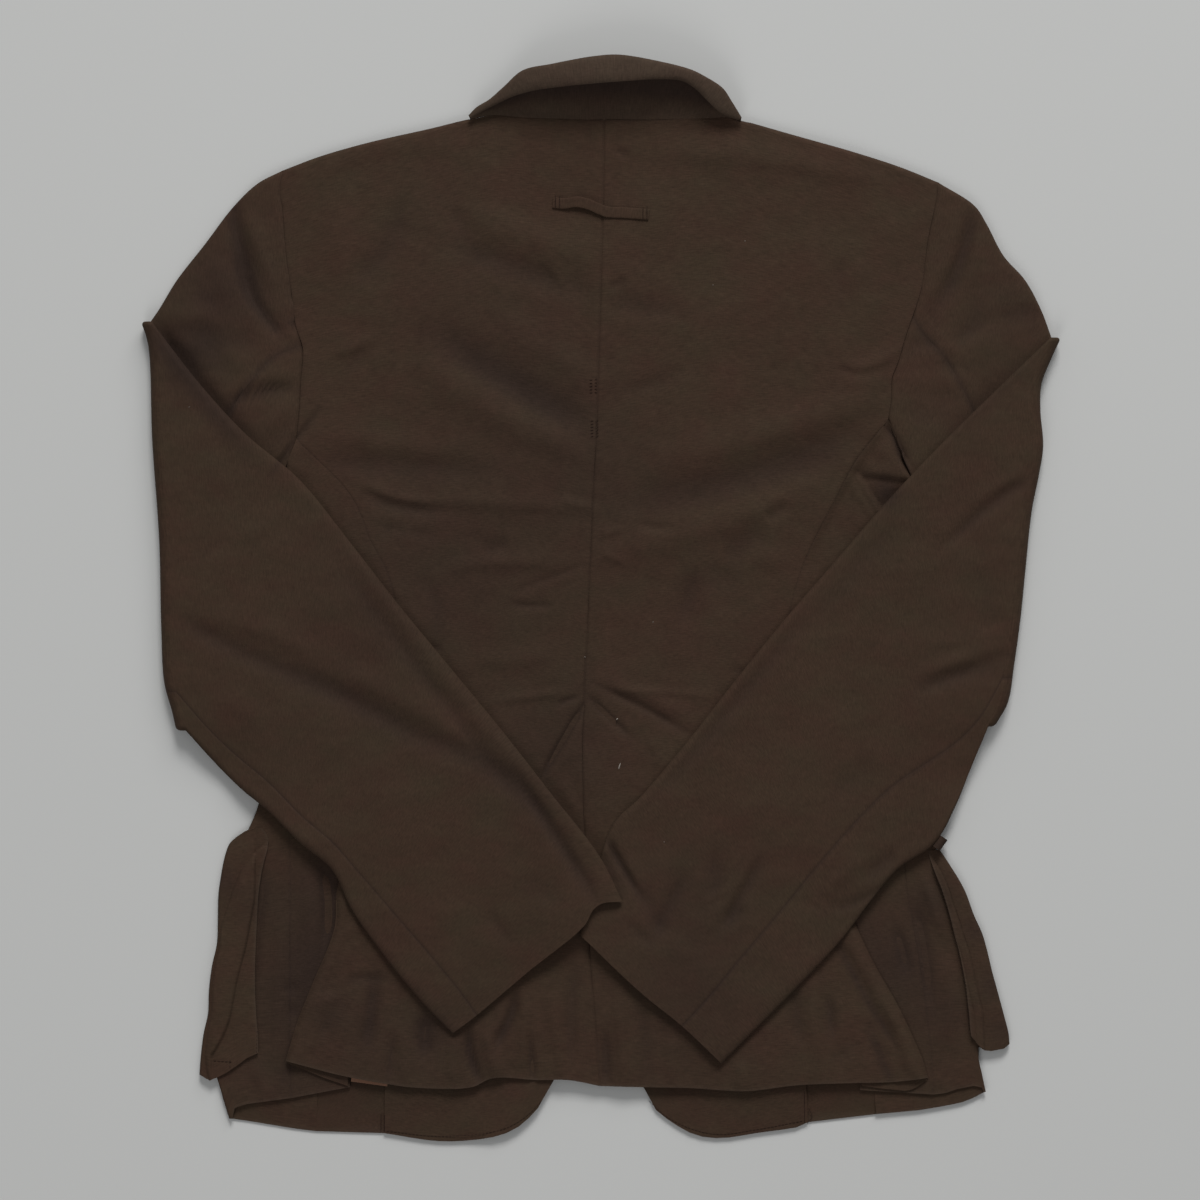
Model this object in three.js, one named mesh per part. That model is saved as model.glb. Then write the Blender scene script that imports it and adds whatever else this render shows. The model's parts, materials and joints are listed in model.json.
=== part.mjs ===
import * as THREE from 'three';

// Utility jacket laid flat, back up, both sleeves folded over the back. Millimetres, +Z up.

// Driving sizes.
const cloth = 1.0;          // wall of every piece of cloth
const seamGap = 0.3;        // between two pieces at a seam
const layer = 1.35;         // from the middle of one layer to the middle of the next
const square = 0.63;        // one square of the chart the outlines are drawn on
const chartMiddle = { x: 600, y: 599 };

// Middle of each layer above the ground.
const height = { front: 0.5, back: 5.2, overlap: 0.4 };
height.frontOverPocket = height.front + layer;
height.side = height.frontOverPocket + 1.5;
height.pleat = height.side + layer;
height.backOverPleat = height.pleat + layer + 0.05;
height.edge = (height.front + height.back) / 2;

// Sleeve lying flat: half the space between its sides, turn of the elbow fold, lift of the upper cuff.
const sleeve = { half: (height.back - height.front) / 2, turn: 3.5, cuffLift: 6.2, sag: 3.5 };

// Collar: height of its roll over the back, thickness of the turned leaf.
const collar = { roll: 17.5, leafRise: 2.6 };

// Hanging loop across the upper back, tape in the side seam, rolled tab at the waist.
const hangingLoop = { x0: 559, y0: 204, x1: 645, y1: 216, width: 6.8, slack: 1.2 };
const careTape = { x: 351, y: 1084, length: 23, width: 11, turn: -0.21 };
const waistTab = { x: 936, y: 856, length: 7.5, radius: 1.9, turn: -0.5 };

const clamp = (v) => Math.min(1, Math.max(0, v));
const mix = (a, b, t) => a + (b - a) * t;
const steps = (n) => Array.from({ length: n + 1 }, (_, i) => i / n);
const onTop = (p, z) => new THREE.Vector3(p.x, p.y, z);

// Eased step from 0 at a to 1 at b.
function ease(a, b, v) {
  const t = clamp((v - a) / (b - a));
  return t * t * (3 - 2 * t);
}

// Chart squares to a plan point in mm, and back.
const plan = (x, y) => new THREE.Vector3((x - chartMiddle.x) * square, (chartMiddle.y - y) * square, 0);
const chartX = (p) => p.x / square + chartMiddle.x;
const chartY = (p) => chartMiddle.y - p.y / square;

// Smooth line through chart points, read by its length from 0 to 1.
function line(points) {
  const curve = new THREE.CatmullRomCurve3(points.map(([x, y]) => plan(x, y)), false, 'centripetal');
  curve.arcLengthDivisions = 60 * points.length;
  return (t) => curve.getPointAt(clamp(t));
}

// Smooth reading of one column of a table by its first column.
function read(rows, column, at) {
  let i = 0;
  while (i < rows.length - 2 && at > rows[i + 1][0]) i += 1;
  const slope = (k) => {
    const a = rows[Math.max(k - 1, 0)];
    const b = rows[Math.min(k + 1, rows.length - 1)];
    return (b[column] - a[column]) / (b[0] - a[0]);
  };
  const [a, b] = [rows[i], rows[i + 1]];
  const w = b[0] - a[0];
  const t = clamp((at - a[0]) / w);
  return (1 + 2 * t) * (1 - t) ** 2 * a[column] + t * t * (3 - 2 * t) * b[column]
    + w * t * (1 - t) ** 2 * slope(i) - w * t * t * (1 - t) * slope(i + 1);
}

// Plan grid filling four rims given as points: start and end rows, near and far columns.
function fill(start, end, near, far) {
  const [rows, cols] = [near.length, start.length];
  const run = (points) => {
    const sums = [0];
    for (let i = 1; i < points.length; i += 1) sums.push(sums[i - 1] + points[i].distanceTo(points[i - 1]));
    return sums.map((s) => s / sums[sums.length - 1]);
  };
  const [u0, u1, v0, v1] = [run(start), run(end), run(near), run(far)];
  return Array.from({ length: rows }, (_, i) => Array.from({ length: cols }, (__, j) => {
    const v = (v0[i] + v1[i]) / 2;
    const u = mix(u0[j], u1[j], v);
    const p = start[j].clone().multiplyScalar(1 - v).addScaledVector(end[j], v);
    p.addScaledVector(near[i], 1 - u).addScaledVector(far[i], u);
    p.addScaledVector(start[0], -(1 - u) * (1 - v)).addScaledVector(start[cols - 1], -u * (1 - v));
    p.addScaledVector(end[0], -(1 - u) * v).addScaledVector(end[cols - 1], -u * v);
    return p;
  }));
}

// Pull a grid inward by half a seam gap on the sides named.
function seamed(grid, sides) {
  const last = grid.length - 1;
  const end = grid[0].length - 1;
  const pull = (p, q) => p.addScaledVector(q.clone().sub(p).normalize(), seamGap / 2);
  for (let j = 0; j <= end; j += 1) {
    if (sides.includes('start')) pull(grid[0][j], grid[1][j]);
    if (sides.includes('end')) pull(grid[last][j], grid[last - 1][j]);
  }
  for (let i = 0; i <= last; i += 1) {
    if (sides.includes('near')) pull(grid[i][0], grid[i][1]);
    if (sides.includes('far')) pull(grid[i][end], grid[i][end - 1]);
  }
  return grid;
}

// Closed wall of cloth round a grid of middle points.
function wall(grid, thickness = cloth) {
  const rows = grid.length;
  const cols = grid[0].length;
  const upper = [];
  const lower = [];
  for (let i = 0; i < rows; i += 1) {
    for (let j = 0; j < cols; j += 1) {
      const a = grid[Math.min(i + 1, rows - 1)][j].clone().sub(grid[Math.max(i - 1, 0)][j]);
      const b = grid[i][Math.min(j + 1, cols - 1)].clone().sub(grid[i][Math.max(j - 1, 0)]);
      const n = a.cross(b).normalize().multiplyScalar(thickness / 2);
      upper.push(grid[i][j].clone().add(n));
      lower.push(grid[i][j].clone().sub(n));
    }
  }
  const points = [...upper, ...lower];
  const faces = [];
  const quad = (a, b, c, d) => faces.push([a, b, c], [a, c, d]);
  const low = rows * cols;
  for (let i = 0; i < rows - 1; i += 1) {
    for (let j = 0; j < cols - 1; j += 1) {
      const a = i * cols + j;
      quad(a, a + cols, a + cols + 1, a + 1);
      quad(low + a, low + a + 1, low + a + cols + 1, low + a + cols);
    }
  }
  for (let i = 0; i < rows - 1; i += 1) {
    const a = i * cols;
    const b = a + cols - 1;
    quad(a, low + a, low + a + cols, a + cols);
    quad(b + cols, low + b + cols, low + b, b);
  }
  for (let j = 0; j < cols - 1; j += 1) {
    const b = (rows - 1) * cols + j;
    quad(j + 1, low + j + 1, low + j, j);
    quad(b, low + b, low + b + 1, b + 1);
  }
  let volume = 0;
  for (const [a, b, c] of faces) volume += points[a].dot(points[b].clone().cross(points[c]));
  const geometry = new THREE.BufferGeometry();
  const position = new Float32Array(points.flatMap((p) => [p.x, p.y, p.z]));
  geometry.setAttribute('position', new THREE.BufferAttribute(position, 3));
  geometry.setIndex(faces.flatMap((f) => (volume < 0 ? [f[0], f[2], f[1]] : f)));
  geometry.computeVertexNormals();
  return geometry;
}

// Body below the armholes, a row for each level down the back. Columns after the level are the chart x
// of the centre seam, back edge, side-back edge under the pleat, side seam, side fold, front seam,
// facing edge and front edge.
const at = { level: 0, centre: 1, back: 2, tuck: 3, seam: 4, fold: 5, front: 6, facing: 7, edge: 8 };

const body = {
  left: {
    rows: [
      [440, 596, 297, 297, 287, 282, 297, 436, 617],
      [493, 593, 349, 349, 287, 277, 318, 430, 617],
      [541, 591, 371, 371, 287, 273, 328, 427, 617],
      [580, 589, 390, 390, 287, 270, 333, 424, 617],
      [640, 587, 398, 398, 287, 266, 338, 418, 616],
      [720, 583, 390, 390, 288, 263, 340, 412, 616],
      [800, 583, 366, 366, 289, 260, 338, 405, 615],
      [850, 585, 348, 348, 290, 240, 335, 401, 614],
      [890, 586, 337, 338, 290, 230, 333, 398, 611],
      [930, 588, 334, 341, 290, 227, 330, 395, 607],
      [985, 592, 312, 344, 290, 220, 325, 391, 597],
      [1020, 595, 298, 346, 290, 215, 322, 389, 586],
      [1060, 598, 286, 348, 290, 212, 319, 386, 570],
    ],
    armhole: [[283, 171], [280, 190], [283, 211], [286, 251], [293, 303], [296, 326], [303, 349],
      [301, 383], [300, 406], [297, 438]],
    underarm: { back: [297, 438], seam: [288, 460], fold: [279, 482], side: [283, 487] },
    top: [[604, 120], [531, 117], [498, 115], [468, 120], [431, 129], [369, 143], [320, 157], [283, 171]],
    neckline: [[470, 122], [492, 165], [525, 220], [565, 280], [616, 330]],
    backHem: [[600, 1086], [568, 1080], [536, 1080], [493, 1078], [472, 1087], [422, 1088], [387, 1084],
      [339, 1075], [312, 1068], [286, 1061]],
    pleatHem: [[287, 1063], [302, 1069], [325, 1078], [348, 1086]],
    sideHem: { tuck: [350, 1087], seam: [291, 1098], fold: [230, 1116], front: [316, 1131] },
    frontHem: [[316, 1131], [379, 1135], [438, 1141], [472, 1140], [501, 1135], [521, 1125], [538, 1108]],
    facing: [384, 1133],
    pleatTop: 900,
  },
  right: {
    rows: [
      [420, 596, 888, 888, 893, 900, 888, 746, 583],
      [458, 595, 858, 858, 897, 906, 878, 753, 583],
      [475, 594, 848, 848, 900, 915, 875, 755, 583],
      [495, 593, 838, 838, 902, 920, 872, 758, 583],
      [545, 591, 812, 812, 905, 925, 864, 766, 583],
      [580, 589, 798, 798, 906, 931, 858, 771, 583],
      [620, 588, 789, 789, 905, 933, 854, 777, 583],
      [690, 584, 787, 787, 904, 937, 851, 786, 584],
      [780, 583, 800, 800, 903, 939, 850, 796, 585],
      [850, 585, 822, 822, 904, 936, 853, 798, 587],
      [890, 587, 840, 838, 907, 952, 857, 799, 590],
      [930, 589, 858, 846, 914, 967, 861, 800, 595],
      [965, 591, 875, 850, 920, 978, 864, 801, 600],
      [1000, 593, 895, 855, 925, 984, 867, 802, 609],
      [1035, 596, 912, 858, 929, 979, 870, 804, 617],
      [1060, 598, 923, 860, 932, 978, 872, 805, 626],
    ],
    armhole: [[938, 183], [936, 200], [928, 239], [921, 289], [905, 338], [898, 362], [892, 378], [891, 400],
      [888, 420]],
    underarm: { back: [888, 420], seam: [896, 433.5], fold: [904, 447], side: [903, 453] },
    top: [[604, 120], [660, 120], [689, 118], [729, 118], [742, 121], [795, 136], [855, 153], [901, 168],
      [938, 183]],
    neckline: [[742, 123], [716, 165], [680, 220], [640, 280], [584, 330]],
    backHem: [[600, 1086], [634, 1087], [689, 1088], [746, 1091], [799, 1085], [855, 1083], [892, 1082],
      [928, 1078]],
    pleatHem: [[927, 1080], [910, 1090], [888, 1089], [862, 1086]],
    sideHem: { tuck: [860, 1090], seam: [934, 1094], fold: [984, 1094], front: [876, 1114] },
    frontHem: [[876, 1114], [805, 1125], [756, 1133], [721, 1138], [696, 1135], [673, 1123], [656, 1110]],
    facing: [808, 1122],
    pleatTop: 930,
  },
};

// Levels at which the body is cut into sections.
const levels = [500, 535, 575, 625, 680, 740, 800, 845, 885, 925, 960, 995, 1030, 1058];

// Parts of the armhole at which back, front and sleeve share their points.
const armholeParts = [0.16, 0.33, 0.5, 0.67, 0.84];

// Folds that stand up or sink. Columns: from x, y, to x, y, half width in squares, height in mm.
const backFolds = [
  { x0: 440, y0: 195, x1: 585, y1: 330, wide: 34, high: 0.8 },
  { x0: 352, y0: 478, x1: 425, y1: 507, wide: 12, high: 0.9 },
  { x0: 845, y0: 350, x1: 745, y1: 462, wide: 30, high: 0.8 },
  { x0: 590, y0: 700, x1: 548, y1: 765, wide: 12, high: 0.6 },
  { x0: 404, y0: 1045, x1: 405, y1: 1090, wide: 16, high: 0.7 },
  { x0: 506, y0: 1020, x1: 506, y1: 1082, wide: 16, high: 1.2 },
  { x0: 606, y0: 1035, x1: 606, y1: 1088, wide: 18, high: 1.0 },
  { x0: 742, y0: 1080, x1: 745, y1: 1096, wide: 13, high: 0.8 },
];

// Folds along the lower sleeves.
const sleeveFolds = {
  left: [
    { x0: 190, y0: 640, x1: 400, y1: 745, wide: 16, high: -1.2 },
    { x0: 400, y0: 745, x1: 500, y1: 800, wide: 16, high: -0.8 },
    { x0: 220, y0: 610, x1: 420, y1: 715, wide: 18, high: 0.9 },
    { x0: 520, y0: 790, x1: 575, y1: 870, wide: 14, high: -1.0 },
  ],
  right: [
    { x0: 964, y0: 523, x1: 1020, y1: 488, wide: 14, high: -1.0 },
    { x0: 898, y0: 689, x1: 1005, y1: 672, wide: 14, high: -1.0 },
    { x0: 618, y0: 850, x1: 640, y1: 892, wide: 9, high: -1.8 },
    { x0: 700, y0: 880, x1: 735, y1: 905, wide: 16, high: -0.9 },
  ],
};

// Sum of the folds at a plan point.
function folded(table, p) {
  const [x, y] = [chartX(p), chartY(p)];
  let sum = 0;
  for (const f of table) {
    const [dx, dy] = [f.x1 - f.x0, f.y1 - f.y0];
    const t = clamp(((x - f.x0) * dx + (y - f.y0) * dy) / (dx * dx + dy * dy));
    const d = Math.hypot(x - f.x0 - t * dx, y - f.y0 - t * dy) / f.wide;
    sum += f.high * Math.exp(-d * d);
  }
  return sum;
}

// 0 above the hips, 1 where the side panel lies under the back.
const tucked = (y) => ease(690, 780, y);

function backHeight(p) {
  const [x, y] = [chartX(p), chartY(p)];
  const ridge = height.overlap * ease(330, 400, y) * (1 - ease(40, 70, Math.abs(x - 600)));
  return mix(height.back + ridge, height.backOverPleat, tucked(y)) + folded(backFolds, p);
}

const sideHeight = (p) => mix(height.back, height.side, tucked(chartY(p)));

// Ground side of the body, lifted where a pocket lies under it.
function groundHeight(p) {
  const [x, y] = [chartX(p), chartY(p)];
  const beside = x < 600 ? 1 - ease(430, 470, x) : ease(712, 742, x);
  const overPocket = ease(800, 836, y) * (1 - ease(1086, 1112, y)) * beside;
  return mix(height.front, height.frontOverPocket, overPocket);
}

// Points of one body line: its top, one for each level, its hem.
function down(side, column, top, hem) {
  const rows = body[side].rows;
  const between = levels.map((level) => plan(read(rows, column, level), level));
  return [plan(...top), ...between, plan(...hem)];
}

const heights = (grid, heightAt) => grid.map((row, i) => row.map((p, j) => onTop(p, heightAt(p, i, j))));

// Rows that turn a shoulder edge through a quarter circle, by angle.
const shoulderTurn = [0, 30, 60, 90].map((degrees) => degrees * Math.PI / 180);

// Armhole of a side: points by distance along the edge for the shoulder turn, then by parts.
function armhole(side) {
  const whole = line(body[side].armhole);
  const far = whole(0);
  const toward = whole(armholeParts[0] / 0.84).sub(far).normalize();
  const turned = shoulderTurn.map((a) => far.clone().addScaledVector(toward, sleeve.half * (1 - Math.cos(a))));
  return [...turned, ...armholeParts.map((part) => whole(part / 0.84)).slice(0, -1)];
}

// Shoulder turn at row i: 1 on the flat, 0 at the edge.
const onFlat = (i) => (i < shoulderTurn.length ? Math.sin(shoulderTurn[i]) : 1);

function backPanel(side) {
  const o = body[side];
  const far = [...armhole(side), ...down(side, at.back, o.underarm.back, o.backHem[o.backHem.length - 1])];
  const centreTop = [[604, 120], [603, 193], [601, 272], [598, 372], [596, 438]];
  const upper = line(centreTop);
  const first = shoulderTurn.map((a) => upper(0).setY(upper(0).y - sleeve.half * (1 - Math.cos(a))));
  const near = [...first, ...steps(5).slice(1).map((t) => upper(t)), ...levels.map((level) => plan(
    read(o.rows, at.centre, level), level)), plan(...o.backHem[0])];
  const [top, hem] = [line(o.top), line(o.backHem)];
  const us = steps(12);
  const grid = fill(us.map(top), us.map(hem), near, far);
  return wall(seamed(heights(grid, (p, i, j) => {
    const low = mix(1, onFlat(i), ease(0.36, 0.5, us[j]));
    return mix(height.edge + 0.4, backHeight(p), low);
  }), ['near', 'far']));
}

// Front of one side, middle points: columns from the side seam to the facing line to the front edge.
function frontGrid(side) {
  const o = body[side];
  const near = [...armhole(side), ...down(side, at.front, o.underarm.back, o.frontHem[0])];
  const shoulder = line(o.top.filter(([x]) => Math.abs(x - 605) > 130).reverse());
  const start = [...steps(5).map(shoulder), ...steps(5).slice(1).map(line(o.neckline))];
  const corner = o.frontHem[o.frontHem.length - 1];
  const edgeRows = o.rows.filter((r) => r[0] < 1040).slice(1);
  const edge = line([o.neckline[o.neckline.length - 1], ...edgeRows.map((r) => [r[at.edge], r[0]]), corner]);
  const far = steps(near.length - 1).map(edge);
  const inward = o.frontHem.filter(([x]) => Math.abs(x - 600) < Math.abs(o.facing[0] - 600) - 2);
  const hem = [...steps(6).map(line([o.frontHem[0], o.facing])), ...steps(4).slice(1).map(line(
    [o.facing, ...inward]))];
  const edgeTurn = (i, j) => mix(1, onFlat(i), 1 - ease(4, 6, j));
  const lap = (j) => (side === 'left' ? 2 * (layer - 0.05) * ease(7.9, 9, j) : 0);
  const grid = fill(start, hem, near, far);
  return heights(grid, (p, i, j) => mix(height.edge - 0.4, groundHeight(p) + lap(j), edgeTurn(i, j)));
}

const frontPanel = (side) => wall(seamed(frontGrid(side), ['near']));

// Facing: the front's own points from the facing line on, moved up by a layer.
const facing = (side) => wall(frontGrid(side).map((row) => row.slice(6).map((p) => onTop(p, p.z + layer - 0.05))));

function sideBack(side) {
  const o = body[side];
  const near = down(side, at.tuck, o.underarm.back, o.sideHem.tuck);
  const far = down(side, at.seam, o.underarm.seam, o.sideHem.seam);
  const us = steps(4);
  const start = us.map((u) => near[0].clone().lerp(far[0], u));
  const end = us.map((u) => near[near.length - 1].clone().lerp(far[far.length - 1], u));
  return wall(seamed(heights(fill(start, end, near, far), sideHeight), ['near', 'far', 'start']));
}

// Return of the pleat between the back and the side panel.
function pleat(side) {
  const o = body[side];
  const rows = steps(6).map((t) => mix(o.pleatTop, 1052, t));
  const near = [...rows.map((y) => plan(read(o.rows, at.back, y), y)), plan(...o.pleatHem[0])];
  const far = [...rows.map((y) => plan(read(o.rows, at.tuck, y), y)),
    plan(...o.pleatHem[o.pleatHem.length - 1])];
  const us = steps(3);
  const start = us.map((u) => near[0].clone().lerp(far[0], u));
  return wall(heights(fill(start, us.map(line(o.pleatHem)), near, far), () => height.pleat));
}

// Section from the ground side round a fold to the back side.
function wrapped(inner, fold, outer, low, high, flats) {
  const radius = (high - low) / 2;
  const toInner = inner.clone().sub(fold).normalize();
  const toOuter = outer.clone().sub(fold).normalize();
  const lowStart = fold.clone().addScaledVector(toInner, radius);
  const highStart = fold.clone().addScaledVector(toOuter, radius);
  const points = [];
  for (let i = 0; i < flats; i += 1) points.push(onTop(inner.clone().lerp(lowStart, i / flats), low));
  for (const t of steps(4)) {
    const angle = Math.PI * t;
    const out = toInner.clone().lerp(toOuter, t).normalize().multiplyScalar(radius * (1 - Math.sin(angle)));
    points.push(onTop(fold.clone().add(out), low + radius * (1 - Math.cos(angle))));
  }
  for (let i = 1; i <= flats; i += 1) points.push(onTop(highStart.clone().lerp(outer, i / flats), high));
  return points;
}

function sideFront(side) {
  const o = body[side];
  const inner = down(side, at.front, o.underarm.back, o.sideHem.front);
  const fold = down(side, at.fold, o.underarm.side, o.sideHem.fold);
  const outer = down(side, at.seam, o.underarm.seam, o.sideHem.seam);
  const grid = fold.map((p, i) => wrapped(inner[i], p, outer[i], groundHeight(p), sideHeight(p), 2));
  return wall(seamed(grid, ['near', 'far', 'start']));
}

// Bellows pockets, a row for each level: level, inner edge on the ground side, fold, rear edge.
const pockets = {
  left: [[848, 412, 231, 262], [870, 413, 223, 259], [905, 414, 220, 256], [960, 415, 216, 253],
    [1005, 416, 210, 255], [1045, 417, 204, 257], [1072, 418, 202, 258]],
  right: [[850, 775, 939, 927], [878, 774, 955, 936], [918, 773, 974, 948], [970, 772, 991, 963],
    [1005, 771, 1000, 967], [1035, 770, 1008, 970], [1052, 769, 1006, 973]],
};

function pocket(side) {
  const rows = pockets[side];
  const [top, bottom] = [rows[0][0], rows[rows.length - 1][0]];
  const grid = steps(9).map((t) => {
    const y = mix(top, bottom, t);
    const [inner, fold, rear] = [1, 2, 3].map((column) => plan(read(rows, column, y), y));
    return wrapped(inner, fold, rear, height.front, height.side + layer, 3);
  });
  return wall(grid);
}

// Sleeves, a row for each section: chart x, y of the over-arm edge, then of the under-arm edge.
const sleeves = {
  left: {
    upper: [[283, 171, 279, 482], [258, 184, 255, 500], [234, 207, 238, 540], [205, 245, 222, 600],
      [177, 281, 206, 655], [160, 309, 194, 700], [151, 322, 186, 730]],
    fold: [[151, 322], [158, 345], [162, 440], [169, 540], [171, 626], [174, 682], [182, 712], [186, 730]],
    lower: [[151, 322, 186, 730], [200, 385, 214, 761], [246, 435, 241, 788], [299, 480, 269, 811],
      [350, 543, 301, 843], [399, 606, 332, 869], [450, 668, 352, 909], [505, 735, 379, 948],
      [550, 793, 403, 979], [598, 855, 431, 1011], [622, 902, 453, 1033]],
    cuff: [[622, 902], [604, 903], [594, 909], [584, 926], [528, 972], [472, 1019], [453, 1033]],
    inseam: [[0, 0.92], [0.3, 0.9], [0.6, 0.87], [1, 0.83]],
  },
  right: {
    upper: [[938, 183, 904, 447], [974, 206, 915, 472], [986, 224, 934, 505], [1004, 256, 958, 560],
      [1028, 279, 973, 620], [1045, 312, 982, 675], [1051, 338, 985, 726]],
    fold: [[1051, 338], [1040, 365], [1033, 398], [1033, 451], [1028, 484], [1022, 560], [1012, 626],
      [1005, 672], [998, 704], [985, 726]],
    lower: [[1051, 338, 985, 726], [996, 391, 971, 765], [941, 445, 955, 806], [888, 501, 934, 843],
      [836, 561, 898, 868], [785, 620, 870, 901], [737, 679, 843, 937], [690, 739, 814, 969],
      [641, 797, 784, 1000], [611, 831, 764, 1020], [592, 882, 743, 1041], [580, 935, 721, 1063]],
    cuff: [[580, 935], [640, 992], [683, 1027], [721, 1063]],
    inseam: [[0, 0.89], [0.3, 0.8], [0.6, 0.73], [1, 0.71]],
  },
};

// Flat tube of a sleeve: one row of middle points for each section, with its turned normal.
function sleeveRows(side) {
  const s = sleeves[side];
  const o = body[side];
  const parts = [0, ...armholeParts, 0.92, 1];
  const whole = line(o.armhole);
  const seamEnd = plan(...o.underarm.fold);
  const atArmhole = parts.map((f) => (f <= 0.84 ? whole(f / 0.84)
    : plan(...o.underarm.back).lerp(seamEnd, (f - 0.84) / 0.16)));
  const across = (points) => parts.map(line(points));
  const edges = (rows, n) => [0, 2].map((k) => steps(n).map(line(rows.map((r) => [r[k], r[k + 1]]))));
  const [upNear, upFar] = edges(s.upper, 8);
  const [lowNear, lowFar] = edges(s.lower, 14);
  const upper = fill(atArmhole, across(s.fold), upNear, upFar);
  const lower = fill(across(s.fold), across(s.cuff), lowNear, lowFar);
  const outward = side === 'left' ? -1 : 1;
  const rows = upper.map((points) => points.map((p) => ({ p: onTop(p, height.edge), n: new THREE.Vector3(0, 0, 1) })));
  for (const degrees of [30, 60, 90, 120, 150]) {
    const a = degrees * Math.PI / 180;
    const n = new THREE.Vector3(-outward * Math.sin(a), 0, Math.cos(a));
    rows.push(lower[0].map((p) => ({
      p: onTop(p, height.edge + sleeve.turn).addScaledVector(n, -sleeve.turn), n,
    })));
  }
  for (const points of lower) {
    rows.push(points.map((p) => {
      const [x, y] = [chartX(p), chartY(p)];
      const lift = side === 'left' ? sleeve.cuffLift * ease(500, 574, x) : 0;
      const off = Math.hypot(x - (side === 'left' ? 222 : 972), y - (side === 'left' ? 772 : 778)) / 34;
      const z = height.edge + 2 * sleeve.turn + lift - sleeve.sag * Math.exp(-off * off);
      return { p: onTop(p, z), n: new THREE.Vector3(0, 0, -1), rise: folded(sleeveFolds[side], p) };
    }));
  }
  return rows;
}

// Point of the tube at part f across, on the back (+1) or front (-1) side, offset 0..1 toward that side.
function tubePoint(row, f, offset) {
  const parts = [0, ...armholeParts, 0.92, 1];
  const table = (pick) => parts.map((part, i) => [part, pick(row[i])]);
  const value = (pick) => {
    const rows = table(pick);
    let i = 0;
    while (i < rows.length - 2 && f > rows[i + 1][0]) i += 1;
    return mix(rows[i][1], rows[i + 1][1], (f - rows[i][0]) / (rows[i + 1][0] - rows[i][0]));
  };
  const p = new THREE.Vector3(value((r) => r.p.x), value((r) => r.p.y), value((r) => r.p.z));
  p.z += Math.max(0, -offset) * value((r) => r.rise ?? 0);
  return p.addScaledVector(row[0].n, offset * sleeve.half);
}

const roundAngles = [90, 45, 0, -45, -90].map((degrees) => degrees * Math.PI / 180);

function sleevePieces(side) {
  const rows = sleeveRows(side);
  const count = rows.length - 1;
  const top = [];
  const under = [];
  rows.forEach((row, i) => {
    const width = row[0].p.distanceTo(row[row.length - 1].p);
    const down01 = clamp((i - 12) / (count - 12));
    const seam = read(sleeves[side].inseam, 1, down01);
    const inseam = mix(0.84, seam, ease(3, 14, i));
    const edge = (angle) => sleeve.half * (1 - Math.cos(angle)) / width;
    const back = (f) => tubePoint(row, f, 1);
    const front = (f) => tubePoint(row, f, -1);
    top.push([
      ...[0.5, 0.33, 0.16].map(back),
      ...roundAngles.map((a) => tubePoint(row, edge(a), Math.sin(a))),
      ...[0.16, 0.33, 0.5, 0.67, inseam].map(front),
    ]);
    under.push([
      ...[0.5, 0.67, 0.84, 0.92].map(back),
      ...roundAngles.map((a) => tubePoint(row, 1 - edge(a), Math.sin(a))),
      ...[mix(inseam, 1 - edge(Math.PI / 2), 0.5), inseam].map(front),
    ]);
  });
  return [top, under].map((grid) => wall(seamed(grid, ['near', 'far', 'start'])));
}

// Collar sections from the left neck point to the right. Columns: seam x, y, roll x, y, leaf edge x, y,
// share of the full rise.
const collarRows = [
  [470, 119, 464, 113, 468, 117, 0.1],
  [482, 116, 474, 107, 484, 110, 0.3],
  [498, 114, 494, 92, 505, 98, 0.6],
  [531, 116, 524, 72, 538, 90, 0.88],
  [568, 117, 570, 61, 571, 85, 1],
  [604, 118, 606, 57, 606, 82, 1],
  [640, 118, 640, 58, 642, 80, 1],
  [675, 117, 678, 66, 676, 80, 0.95],
  [705, 117, 708, 80, 700, 92, 0.7],
  [729, 117, 728, 97, 719, 108, 0.4],
  [741, 120, 746, 114, 740, 117, 0.1],
];

function collarPieces() {
  const [seam, roll, edge] = [0, 2, 4].map((k) => line(collarRows.map((r) => [r[k], r[k + 1]])));
  const shares = collarRows.map((r, i) => [i / (collarRows.length - 1), r[6]]);
  const stand = [];
  const leaf = [];
  for (const t of steps(24)) {
    const [a, r, e] = [seam(t), roll(t), edge(t)];
    const rise = collar.roll * read(shares, 1, t);
    const base = height.back;
    stand.push([0, 0.3, 0.65, 1].map((k) => onTop(a.clone().lerp(r, k), base + rise * k ** 1.25)));
    const over = collar.leafRise;
    const top = base + rise;
    leaf.push([
      onTop(r, top + cloth + seamGap),
      onTop(r.clone().lerp(e, 0.08), top + cloth + seamGap + over * 0.55),
      onTop(r.clone().lerp(e, 0.3), top + cloth + seamGap + over),
      onTop(r.clone().lerp(e, 0.65), top + cloth + seamGap + over * 0.9),
      onTop(e, top + cloth + seamGap + over * 0.35),
    ]);
  }
  return [wall(stand), wall(leaf)];
}

function hangingLoopPiece() {
  const l = hangingLoop;
  const [from, to] = [plan(l.x0, l.y0), plan(l.x1, l.y1)];
  const across = new THREE.Vector3(to.y - from.y, from.x - to.x, 0).normalize();
  const grid = steps(12).map((t) => steps(2).map((s) => {
    const p = from.clone().lerp(to, t).addScaledVector(across, (s - 0.5) * l.width);
    const slack = l.slack * Math.sin(Math.PI * clamp(t * 1.5)) ** 2;
    return onTop(p, backHeight(p) + layer + slack);
  }));
  return wall(grid);
}

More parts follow.
